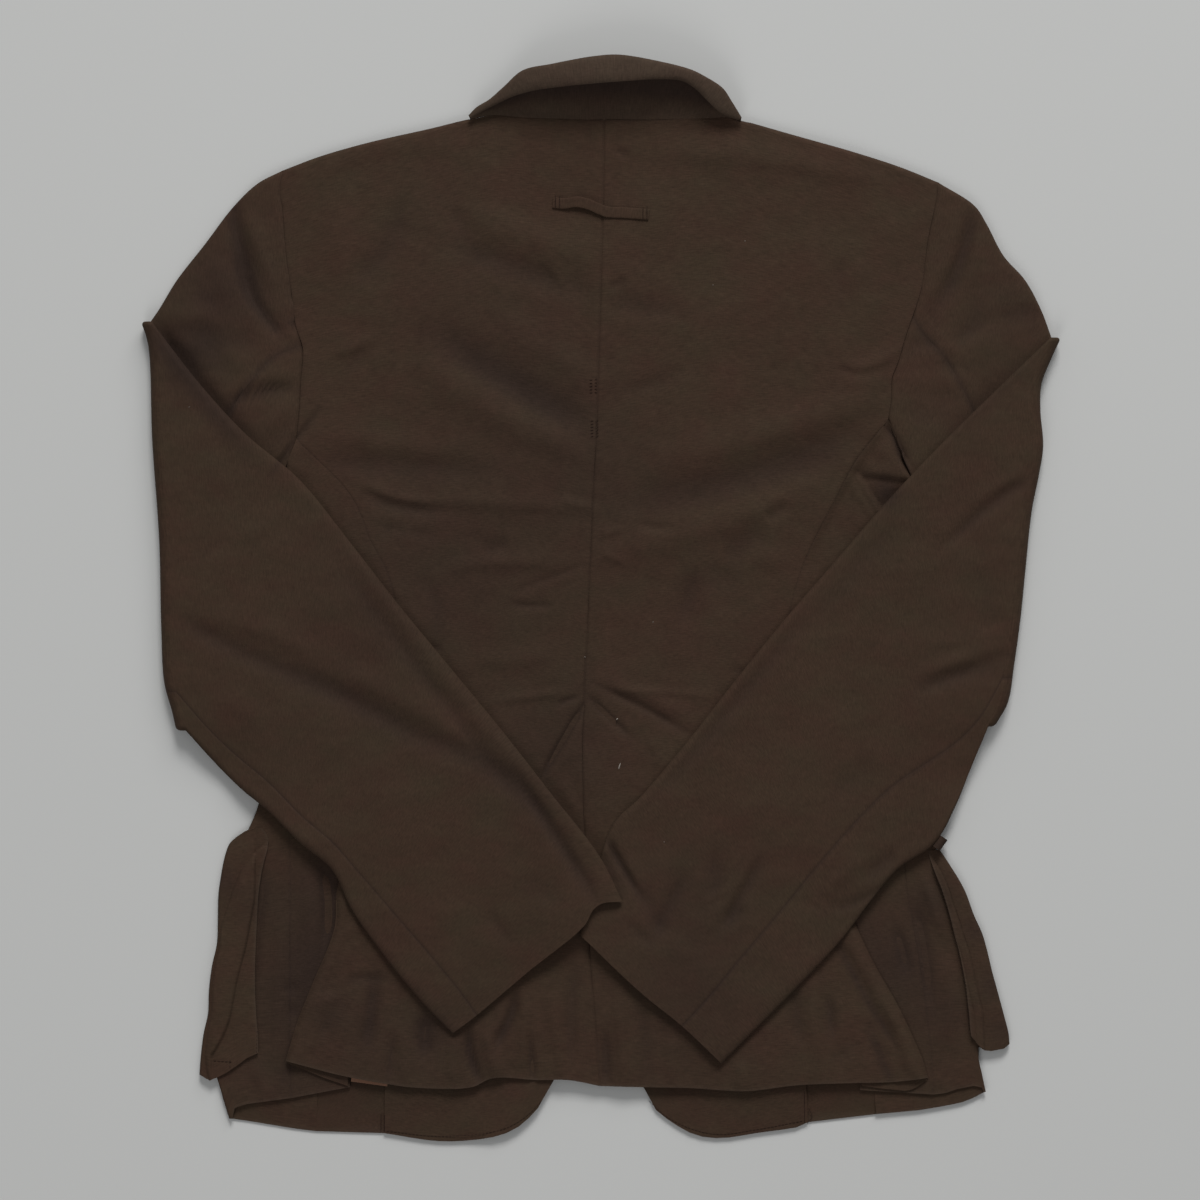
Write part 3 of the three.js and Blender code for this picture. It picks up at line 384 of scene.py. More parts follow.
# Slow unrest of the cloth: a few long waves of mixed direction, in chart squares.
def unrest(xy, length, high, seed):
    rng = np.random.default_rng(seed)
    out = np.zeros(xy.shape[:-1])
    for _ in range(9):
        angle, phase = rng.uniform(0, 2 * math.pi, 2)
        k = 2 * math.pi / (length * rng.uniform(0.7, 1.6))
        out += np.sin((xy[..., 0] * math.cos(angle) + xy[..., 1] * math.sin(angle)) * k + phase)
    return high * out / 9**0.5


def tucked(y):
    return ease(690, 780, y)


# Highest that the back may stand: low under the folded sleeves, free away from their inner edges.
def ceiling(xy):
    out = np.full(xy.shape[:-1], 20.0)
    for side in ("left", "right"):
        inner = np.array(sorted((r[0], r[1]) for r in sleeves[side]["lower"]), float)
        outer = [(r[2], r[3]) for r in sleeves[side]["lower"]] + sleeves[side]["cuff"][1:-1]
        outer = np.array(sorted(outer), float)
        above = np.interp(xy[..., 0], inner[:, 0], inner[:, 1]) - xy[..., 1]
        below = xy[..., 1] - np.interp(xy[..., 0], outer[:, 0], outer[:, 1])
        out = np.minimum(out, 6.3 + 0.23 * np.maximum(0, np.maximum(above, below)))
    return out


def backHeight(xy):
    x, y = xy[..., 0], xy[..., 1]
    ridge = backForm["ridge"] * ease(330, 400, y) * (1 - ease(40, 70, np.abs(x - 600)))
    rise = backForm["rise"] * ease(170, 330, y) * (1 - ease(420, 640, y)) * np.exp(-((x - 600) / 240)**4)
    z = mix(layers["back"] + ridge + rise, layers["backOverPleat"], tucked(y))
    z += folded(backFolds, xy) + folded(hemFolds, xy)
    z += unrest(xy, 150, 0.4, 3) + unrest(xy, 52, 0.2, 4) + unrest(xy, 23, 0.07, 5)
    overPleat = np.where(x < 600, (1 - ease(352, 362, x)) * ease(880, 898, y),
                         ease(836, 846, x) * ease(910, 928, y))
    return np.maximum(np.minimum(z, ceiling(xy)), backForm["overPleat"] * overPleat)


def sideHeight(xy):
    return mix(backHeight(xy), layers["side"], tucked(xy[..., 1]))


# Hollow of the side panel below the right armhole: sharp on its left, with a lip there, and soft on top.
def hollow(xy):
    x, y = xy[..., 0] - 858, xy[..., 1] - 473
    left = (x * 36 - y * 22) / 42.2
    within = (1 - ease(46, 58, x)) * (1 - ease(39, 57, y)) * ease(-1, 7, y - x * 0.07)
    deep = ease(0, 1.4, left) * (2.0 + 1.6 * ease(7, 35, y))
    return within * (deep - np.exp(-((left + 2.5) / 2.5)**2))


# Painted shade beside the edge of the back, over the pleat, as a share of the purple tint.
def shadeBesidePleat(side, xy):
    past = np.abs(xy[..., 0] - read(body[side]["rows"], columnOf["back"], xy[..., 1]))
    share, reach = pleatShade[side]
    down01 = ease(820, 890, xy[..., 1]) * (1 - ease(990, 1060, xy[..., 1]) / 2)
    return share * down01 * np.exp(-(past / reach)**2)


def groundHeight(xy):
    x, y = xy[..., 0], xy[..., 1]
    beside = np.where(x < 600, 1 - ease(430, 470, x), ease(712, 742, x))
    return layers["ground"] + layers["pocketLift"] * ease(800, 836, y) * (1 - ease(1086, 1112, y)) * beside


pleatShade = {"left": (0.75, 62), "right": (0.4, 40)}
bodyRows = {"turn": 7, "arm": 104, "below": 250, "hem": 12}
sideRows = {"turn": 4, "arm": 20, "below": 190, "hem": 12}
frontRows = {"turn": 4, "arm": 20, "below": 40, "hem": 20}
# Points of a wrapped section: on the ground side, round the fold, and above.
sidePoints = {"under": 10, "turn": 11, "over": 24}
pocketPoints = {"under": 10, "turn": 15, "over": 46, "rows": 170}
# Armhole rows that give way to the shoulder turn, the level where each line turns to its point of the hem,
# and the levels with closer rows.
skipped = 6
lastLevel = 1058
closeLevels = [(450, 475, 610, 640), (665, 690, 815, 850)]


# One line of the body: its top, down through the levels, then to the hem.
def down(side, column, top, hem, rows=None):
    n = rows or bodyRows
    table = body[side]["rows"]
    top, hem = np.array(top, float), np.array(hem, float)
    every = np.linspace(top[1], lastLevel, 400)
    dense = np.ones(len(every))
    for a, b, c, d in closeLevels:
        dense += 1.1 * ease(a, b, every) * (1 - ease(c, d, every))
    run = np.cumsum(dense)
    levels = np.interp(np.linspace(run[0], run[-1], n["below"]), run, every)
    xs = read(table, columnOf[column], levels)
    xs += (top[0] - xs[0]) * (1 - ease(0, 60, levels - top[1]))
    t = np.linspace(0, 1, n["hem"] + 1)[1:] ** 0.8
    last = np.array([xs[-1], lastLevel])
    tail = last + (hem - last) * t[:, None]
    return np.vstack([np.stack([xs, levels], 1), tail])


# Armhole points: the shoulder turn, then down the seam.
def armhole(side, rows=None):
    n = rows or bodyRows
    whole = line(body[side]["armhole"], np.linspace(0, 1, n["arm"] + 1))
    first, toward = whole[0], whole[skipped] - whole[0]
    toward = toward / np.linalg.norm(toward)
    reach = sleeveForm["half"] / chart["square"]
    angles = np.linspace(0, math.pi / 2, n["turn"])
    turned = first + toward * (reach * (1 - np.cos(angles)))[:, None]
    rest = whole[np.linalg.norm(whole - first, axis=1) > reach * 1.15][:-1]
    pick = np.linspace(0, len(rest) - 1, n["arm"] - skipped).round().astype(int)
    return np.vstack([turned, rest[pick]])


def turnOf(count, rows=None):
    n = rows or bodyRows
    sines = np.ones(count)
    sines[:n["turn"]] = np.sin(np.linspace(0, math.pi / 2, n["turn"]))
    return sines


# Chart points and heights in mm to metres in the part's frame.
shift = [0.0, 0.0]


def metres(xy, z):
    s = chart["square"] / 1000 * (1 - z / 1000 / camera["height"])
    return np.stack([(xy[..., 0] - chart["middleX"]) * s - shift[0],
                     (chart["middleY"] - xy[..., 1]) * s - shift[1], z / 1000], axis=-1)


def normals(p):
    a = np.gradient(p, axis=0)
    b = np.gradient(p, axis=1)
    n = np.cross(a, b)
    return n / np.maximum(np.linalg.norm(n, axis=-1, keepdims=True), 1e-12)


# Distance in mm of each grid point from the rims named.
def fromRim(p, sides):
    d = np.full(p.shape[:2], 1e3)
    runA = np.linalg.norm(np.diff(p, axis=0), axis=-1) * 1000
    runB = np.linalg.norm(np.diff(p, axis=1), axis=-1) * 1000
    ra = np.concatenate([np.zeros((1, p.shape[1])), np.cumsum(runA, 0)], 0)
    rb = np.concatenate([np.zeros((p.shape[0], 1)), np.cumsum(runB, 1)], 1)
    found = {"start": ra, "end": ra[-1:] - ra, "near": rb, "far": rb[:, -1:] - rb}
    for side in sides:
        d = np.minimum(d, found[side])
    return d


# Patches of the purple tint. Columns: chart x, y, radius, share. The broad ones give the shot cloth's own
# changing hue; the smaller strong ones on the hips, pockets and hem, in the right underarm hollow and on the
# upper left sleeve are painted shade.
tintAndShadeBlobs = [(450, 560, 110, 0.4), (440, 300, 80, 0.15), (560, 740, 70, 0.4), (430, 200, 50, 0.1),
         (690, 1060, 140, 0.15), (300, 690, 90, 0.1), (700, 640, 60, 0.1), (225, 290, 46, 0.6),
         (200, 352, 26, 0.6), (540, 380, 70, 0.25), (370, 1060, 80, 0.3), (860, 560, 50, 0.1),
         (600, 480, 70, 0.3), (700, 900, 50, 0.15), (310, 960, 30, 0.2),
         (258, 900, 26, 0.3), (908, 960, 34, 0.45), (948, 1010, 26, 0.4),
         (930, 900, 24, 0.6), (470, 1050, 50, 0.2), (1000, 300, 30, 0.2), (700, 990, 60, 0.25),
         (886, 494, 13, 1.0), (330, 1010, 24, 0.35), (430, 1030, 20, 0.4), (975, 930, 14, 0.6),
         (992, 985, 15, 0.6), (1000, 1030, 15, 0.5), (226, 880, 12, 0.5)]


def foldsOn(node):
    side = "left" if node.endswith("left") else "right"
    if node.startswith("back"):
        return backFolds + hemFolds
    if node.startswith("side"):
        return sideFolds
    if "sleeve" in node:
        return upperFolds[side] + lowerFolds[side]
    return []


# Thin closed shell of cloth on a grid of middle points. Its purple share is painted shade along seams, in
# fold troughs and as deep gives it, and in the patches both the cloth's own hue and painted shade; its pale
# share is painted light as the caller gives it, plus a paler line at hem rims.
def shell(node, p, name=None, slot="shot_cloth", thickness=None, seamSides=None, hemSides=(),
          paintedLightAndPale=0.0, deep=0.0):
    name = name or f"cloth_{node}"
    t = np.full(p.shape[:2], thickness or cloth["thickness"]) / 1000
    if hemSides:
        near = 1 - ease(hemBand["width"], hemBand["end"], fromRim(p, hemSides))
        t += (hemBand["thickness"] - cloth["thickness"]) / 1000 * near
    n = normals(p)
    # Seam dips, and painted shade along the seams.
    paintedSeamShade = np.zeros(p.shape[:2])
    for side, depth in (seamSides or {}).items():
        beside = np.exp(-(fromRim(p, [side]) / seams["width"])**2)
        long = "sleeve" in node and side != "start"
        paintedSeamShade = np.maximum(paintedSeamShade, beside * (seams["sleeveShade"] if long else seams["shade"]))
        dip = beside * depth / 1000
        p = p - np.sign(n[..., 2:3]) * n * dip[..., None] * (np.abs(n[..., 2:3]) > 0.5)
    rows, cols = p.shape[:2]
    upper = p + n * t[..., None] / 2
    lower = p - n * t[..., None] / 2
    verts = np.vstack([upper.reshape(-1, 3), lower.reshape(-1, 3)])
    ids = np.arange(rows * cols).reshape(rows, cols)
    low = ids + rows * cols
    quads = [np.stack([ids[:-1, :-1], ids[1:, :-1], ids[1:, 1:], ids[:-1, 1:]], -1).reshape(-1, 4),
             np.stack([low[:-1, :-1], low[:-1, 1:], low[1:, 1:], low[1:, :-1]], -1).reshape(-1, 4),
             np.stack([ids[:-1, 0], low[:-1, 0], low[1:, 0], ids[1:, 0]], -1),
             np.stack([ids[1:, -1], low[1:, -1], low[:-1, -1], ids[:-1, -1]], -1),
             np.stack([ids[0, 1:], low[0, 1:], low[0, :-1], ids[0, :-1]], -1),
             np.stack([ids[-1, :-1], low[-1, :-1], low[-1, 1:], ids[-1, 1:]], -1)]
    mesh = bpy.data.meshes.new(name)
    faces = np.vstack(quads)
    mesh.vertices.add(len(verts))
    mesh.vertices.foreach_set("co", verts.ravel())
    mesh.loops.add(faces.size)
    mesh.loops.foreach_set("vertex_index", faces.ravel().astype(np.int32))
    mesh.polygons.add(len(faces))
    mesh.polygons.foreach_set("loop_start", np.arange(0, faces.size, 4, dtype=np.int32))
    mesh.update(calc_edges=True)
    mesh.polygons.foreach_set("use_smooth", np.arange(len(faces)) < 2 * (rows - 1) * (cols - 1))
    ends = np.zeros(2 * len(mesh.edges), dtype=np.int32)
    mesh.edges.foreach_get("vertices", ends)
    ends = ends.reshape(-1, 2)
    rim = np.ones((rows, cols), bool)
    rim[1:-1, 1:-1] = False
    rim = np.tile(rim.ravel(), 2)
    sameSide = (ends[:, 0] < rows * cols) == (ends[:, 1] < rows * cols)
    mesh.edges.foreach_set("use_edge_sharp", rim[ends[:, 0]] & rim[ends[:, 1]] & sameSide)
    runA = np.linalg.norm(np.diff(p, axis=0), axis=-1).mean(1)
    runB = np.linalg.norm(np.diff(p, axis=1), axis=-1).mean(0)
    v = np.concatenate([[0], np.cumsum(runA)])[:, None] + np.zeros((1, cols))
    u = np.concatenate([[0], np.cumsum(runB)])[None] + np.zeros((rows, 1))
    uv = np.tile(np.stack([u, v], -1).reshape(-1, 2), (2, 1))
    layer = mesh.uv_layers.new(name="grain")
    layer.uv.foreach_set("vector", uv[faces.ravel()].ravel())
    xy = np.stack([(verts[:, 0] + shift[0]) * 1000 / chart["square"] + chart["middleX"],
                   chart["middleY"] - (verts[:, 1] + shift[1]) * 1000 / chart["square"]], -1)
    # Share of the purple tint: painted shade along seams and from deep, then the patches.
    tintAndShade = np.tile((paintedSeamShade + deep).ravel(), 2)
    for bx, by, r, amount in tintAndShadeBlobs:
        tintAndShade += amount * np.exp(-((xy[:, 0] - bx)**2 + (xy[:, 1] - by)**2) / r**2)
    # Painted shade in the troughs of the folds.
    table = foldsOn(node)
    if table:
        tintAndShade += cloth["trough"] * np.clip(-folded(table, xy), 0, 3) / 3
    # Share of the pale tint: painted light as given, and a paler line along hem rims.
    paleness = np.full(p.shape[:2], paintedLightAndPale)
    if hemSides:
        paleness += hemBand["paleness"] * np.exp(-(fromRim(p, hemSides) / hemBand["palenessWidth"])**2)
    for label, share in (("purpleAndShade", np.clip(tintAndShade, 0, 1)), ("paintedLightAndPale", np.tile(paleness.ravel(), 2))):
        attribute = mesh.attributes.new(label, "FLOAT", "POINT")
        attribute.data.foreach_set("value", share.astype(np.float32))
    obj = bpy.data.objects.new(name, mesh)
    bpy.context.collection.objects.link(obj)
    volume = volumeOf(verts, faces)
    if volume < 0:
        mesh.flip_normals()
    obj.data.materials.append(materials[slot])
    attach(obj, "root")
    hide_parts(node)
    declare(obj, p)
    grids[node] = (p, n if volume > 0 else -n)
    return obj


def volumeOf(verts, faces):
    a, b, c, d = (verts[faces[:, k]] for k in range(4))
    return float((np.einsum("ij,ij->i", a, np.cross(b, c)) + np.einsum("ij,ij->i", a, np.cross(c, d))).sum())


# What each piece lies on or hangs from.
restsOn = {
    "front_left": ["front_right", "floor"], "front_right": ["floor"], "facing_left": ["front_left"],
    "facing_right": ["front_right"], "care_tape": ["side_front_left"],
    "hanging_loop": ["back_left", "back_right"],
    "waist_tab_right": ["side_front_right"], "collar_stand": ["back_left", "back_right"],
    "collar_leaf": ["collar_stand"],
}
for side in ("left", "right"):
    restsOn[f"back_{side}"] = [f"front_{side}", f"side_back_{side}"]
    restsOn[f"side_back_{side}"] = [f"front_{side}", f"side_front_{side}"]
    restsOn[f"side_front_{side}"] = [f"front_{side}", "floor"]
    restsOn[f"pleat_{side}"] = [f"side_back_{side}"]
    restsOn[f"pocket_{side}"] = [f"side_front_{side}", "floor"]
    restsOn[f"top_sleeve_{side}"] = [f"back_{side}", f"under_sleeve_{side}"]
    restsOn[f"under_sleeve_{side}"] = [f"back_{side}", f"side_back_{side}"]
restsOn["top_sleeve_left"] += ["top_sleeve_right"]


# Cut size of a piece: its widest row, its longest column, and its area.
def declare(obj, p):
    rowLengths = np.linalg.norm(np.diff(p, axis=1), axis=-1).sum(1)
    colLengths = np.linalg.norm(np.diff(p, axis=0), axis=-1).sum(0)
    a, b = p[1:, :-1] - p[:-1, :-1], p[:-1, 1:] - p[:-1, :-1]
    area = float(np.linalg.norm(np.cross(a, b), axis=-1).sum())
    w, h = max(float(rowLengths.max()), 0.01), max(float(colLengths.max()), 0.01)
    w = max(w, area / h * 1.001)
    if area < 0.3 * w * h:
        w = area / (0.31 * h)
    cuts[obj.name] = (round(w, 3), round(h, 3), round(area, 4))


grids, cuts, materials = {}, {}, {}


def backPanel(side):
    o = body[side]
    far = np.vstack([armhole(side), down(side, "back", o["underarm"]["back"], o["backHem"][-1])])
    reach = sleeveForm["half"] / chart["square"]
    upper = line(centreTop, np.linspace(0, 1, bodyRows["arm"] - skipped + 1))[:-1]
    angles = np.linspace(0, math.pi / 2, bodyRows["turn"])
    turned = np.array(centreTop[0]) + np.outer(reach * (1 - np.cos(angles)), (0, 1))
    upper[:, 1] = np.maximum(upper[:, 1], turned[-1, 1] + 0.5 + np.linspace(0, 2, len(upper)))
    near = np.vstack([turned, upper, down(side, "centre", centreTop[-1], o["backHem"][0])])
    us = spread(88, 190)**1.25
    xy = fill(line(o["top"], us), line(o["backHem"], us), near, far)
    z = backHeight(xy)
    turn = turnOf(len(xy))[:, None]
    low = mix(1, turn, ease(0.36, 0.5, us)[None])
    z = mix(backForm["turnStart"], z, low)
    edge = fromRim(metres(xy, z), ["far"])
    hip = ease(870, 900, xy[..., 1])
    roll = backForm["hipRoll"] * np.exp(-((edge - 5) / 3.5)**2)
    z += hip * (roll - backForm["hipEdge"] * np.exp(-(edge / 1.8)**2))
    return metres(xy, z)


# Grid of a front. Its first columns, up to facingAt, are the body, the rest are covered by the facing.
facingAt, frontEnd = 24, 36


def frontGrid(side, rows):
    o = body[side]
    below = down(side, "front", o["underarm"]["back"], o["frontHem"][0], rows)
    near = np.vstack([armhole(side, rows), below])
    shoulder = [p for p in o["top"] if abs(p[0] - 605) > 130][::-1]
    start = np.vstack([line(shoulder, np.linspace(0, 1, 21)),
                       line(o["neckline"], np.linspace(0, 1, frontEnd - 19))[1:]])
    edgeRows = [(r[columnOf["edge"]], r[0]) for r in o["rows"] if r[0] < 1040][1:]
    edge = [o["neckline"][-1]] + edgeRows + [o["frontHem"][-1]]
    far = line(edge, np.linspace(0, 1, len(near)))
    inward = [p for p in o["frontHem"] if abs(p[0] - 600) < abs(o["facing"][0] - 600) - 2]
    hem = np.vstack([line([o["frontHem"][0], o["facing"]], np.linspace(0, 1, facingAt + 1)),
                     line([o["facing"]] + inward, np.linspace(0, 1, frontEnd - facingAt + 1))[1:]])
    middle = [start[facingAt]] + [(r[columnOf["facing"]], r[0]) for r in o["rows"]] + [o["facing"]]
    middle = line(middle, np.linspace(0, 1, len(near)))
    xy = np.concatenate([fill(start[:facingAt + 1], hem[:facingAt + 1], near, middle),
                         fill(start[facingAt:], hem[facingAt:], middle, far)[:, 1:]], axis=1)
    j = np.interp(np.arange(frontEnd + 1), [0, 20, facingAt, frontEnd], [0, 5, 6, 10])
    z = groundHeight(xy)
    if side == "left":
        z = z + frontForm["lap"] * ease(7.9, 9, j)
    turn = turnOf(len(xy), rows)[:, None]
    return xy, mix(frontForm["turnStart"], z, mix(1, turn, 1 - ease(4, 6, j)[None]))


# Sections that start at the inner line, turn up round the fold and go back to the outer line.
def sectionWrapped(inner, fold, outer, low, high, points):
    radius = ((high - low) / 2)[:, None] / chart["square"]
    toInner = (inner - fold) / np.linalg.norm(inner - fold, axis=1, keepdims=True)
    toOuter = (outer - fold) / np.linalg.norm(outer - fold, axis=1, keepdims=True)
    lowStart, highStart = fold + toInner * radius, fold + toOuter * radius
    xy, z = [], []
    for t in np.linspace(0, 1, points["under"], endpoint=False):
        xy.append(mix(inner, lowStart, t))
        z.append(low)
    for t in np.linspace(0, 1, points["turn"]):
        out = mix(toInner, toOuter, t)
        out = out / np.linalg.norm(out, axis=1, keepdims=True)
        xy.append(fold + out * radius * (1 - math.sin(math.pi * t)))
        z.append(low + (high - low) / 2 * (1 - math.cos(math.pi * t)))
    for t in np.linspace(0, 1, points["over"] + 1)[1:]:
        xy.append(mix(highStart, outer, t))
        z.append(high)
    return np.stack(xy, 1), np.stack(z, 1)


# Pockets. Columns: level, then chart x of the inner edge, the outline and the sewn rear edge.
pocketRows = {
    "left": [(828, 412, 254, 262), (833, 412, 243.5, 266), (838, 412, 236, 268), (844, 412, 230, 268),
             (851, 412, 227, 267), (862, 413, 224, 264), (876, 413, 221.5, 261), (894, 414, 219, 258.5),
             (918, 414, 218.4, 257), (943, 415, 217.5, 256), (966, 415, 212.5, 255), (990, 416, 209.5, 255),
             (1013, 417, 208.6, 256), (1034, 417, 204, 257.5), (1056, 418, 201.2, 258),
             (1072, 418, 200, 258)],
    "right": [(850, 775, 939, 927), (866, 774, 949.5, 932.5), (889, 774, 963.5, 941.5),
              (916, 773, 973.8, 950), (933, 773, 981.5, 954.4), (950, 772, 986.5, 958.5),
              (971, 772, 991.5, 963), (997, 771, 998.6, 967),
              (1018, 770, 1004, 969), (1035, 770, 1008, 970), (1046, 769, 1009, 971)],
}
# Where the pocket's gusset lies over its face, where the gusset is creased, and the pocket's lower edge.
gusset = {
    "left": ((829, 845, 850, 858, 870, 882, 893, 904, 911, 926, 936, 945, 987, 1013, 1034, 1055, 1068,
              1080),
             (276, 265.3, 258, 250.7, 242.2, 236, 232.5, 228.9, 226.4, 221.6, 218, 212, 206, 209.5, 207.2,
              206.2, 207.2, 210)),
    "right": ((849, 862, 877, 893, 906, 921, 938, 953, 970, 986, 1000, 1011, 1036, 1055),
              (928.7, 935, 942.9, 949.3, 953, 958.3, 963.4, 968.6, 972.4, 975.7, 978.6, 981.4, 983.6,
               984)),
}
crease = ((840, 874, 887, 899, 911, 930, 948, 966.5, 984.5, 1002.5, 1019, 1031, 1041.5, 1056),
          (256, 255.6, 255.6, 255, 253, 249.5, 246, 241, 236.5, 233.5, 230.5, 226, 220.7, 212))
pocketHem = {
    "left": ((200, 205, 210, 218, 226, 235, 247, 258), (1074.5, 1078, 1080.5, 1077, 1073, 1067, 1058, 1053)),
    "right": ((971, 976, 980, 985, 991, 1004, 1009), (1036, 1042, 1047, 1050.5, 1051, 1048.6, 1044)),
}


def pocketHeight(side, xy):
    x, y = xy[..., 0], xy[..., 1]
    edge = np.interp(y, *gusset[side])
    if side == "left":
        fold = np.interp(y, *crease)
        z = 1.9 * ease(-0.9, 1.1, x - edge)
        z += 1.5 * ease(0, 8, x - edge) * (1 - ease(-2.5, 0.5, x - fold))
        z -= 1.1 * np.exp(-((x - fold) / 1.7)**2) + ease(0, 3, x - fold)
    else:
        z = 2.0 * (1 - ease(-1.1, 0.9, x - edge)) - 0.4 * np.exp(-((x - edge + 8) / 1.2)**2)
    return z


# Sleeves, a row for each section: chart x, y of the over-arm edge, then of the under-arm edge.
sleeves = {
    "left": {
        "upper": [(283, 171, 279, 482), (258, 184, 255, 500), (234, 207, 238, 540), (205, 245, 222, 600),
                  (177, 281, 206, 655), (160, 309, 194, 700), (151, 322, 186, 730)],
        "fold": [(151, 322), (158, 345), (162, 440), (169, 540), (171, 626), (174, 682), (182, 712),
                 (186, 730)],
        "lower": [(151, 322, 186, 730), (200, 385, 214, 761), (246, 435, 241, 788), (299, 480, 269, 811),
                  (350, 543, 301, 843), (399, 606, 332, 869), (450, 668, 352, 909), (505, 735, 379, 948),
                  (550, 793, 403, 979), (598, 855, 431, 1011), (622, 902, 453, 1033)],
        "cuff": [(622, 902), (604, 903), (594, 909), (584, 926), (528, 972), (472, 1019), (453, 1033)],
        "inseam": [(0, 0.905), (0.11, 0.91), (0.2, 0.907), (0.29, 0.91), (0.4, 0.91), (0.5, 0.908),
                   (0.61, 0.865), (0.73, 0.85), (0.83, 0.843), (0.93, 0.85), (1, 0.865)],
        "backSeam": [(0, 0.55), (0.5, 0.5), (1, 0.5)],
    },
    "right": {
        "upper": [(938, 183, 904, 447), (974, 206, 909, 470), (986, 224, 931, 505), (1003, 256, 958, 560),
                  (1025, 281, 973, 620), (1041, 311, 982, 675), (1051, 338, 985, 726)],
        "fold": [(1051, 338), (1041, 360), (1032, 384), (1031, 410), (1034, 446), (1030, 474), (1023, 510),
                 (1017, 568), (1012, 620), (1006, 665), (1000, 702), (987, 726)],
        "lower": [(1051, 338, 985, 726), (996, 391, 971, 765), (941, 445, 955, 806), (888, 501, 934, 843),
                  (836, 561, 898, 868), (785, 620, 870, 901), (737, 679, 843, 937), (690, 739, 814, 969),
                  (641, 797, 784, 1000), (614, 824, 764, 1020), (597, 872, 743, 1041), (580, 935, 721, 1063)],
        "cuff": [(580, 935), (640, 992), (683, 1027), (721, 1063)],
        "inseam": [(0, 0.87), (0.1, 0.856), (0.2, 0.81), (0.3, 0.758), (0.4, 0.745), (0.5, 0.733),
                   (0.6, 0.725), (0.7, 0.733), (0.8, 0.745), (0.86, 0.757), (0.93, 0.745), (1, 0.72)],
        "backSeam": [(0, 0.47), (0.5, 0.5), (1, 0.5)],
    },
}
sleeveRows = {"upper": 54, "turn": 11, "lower": 200}
# Points round a section: a quarter turn under the edge and over it, then the back and front of each piece.
around = {"under": 7, "over": 11, "topBack": 21, "topFront": 70, "underBack": 23, "underFront": 17}
# Share of the armhole in the width of a sleeve's top, the rest crosses the underarm.
armholeShare = 0.84


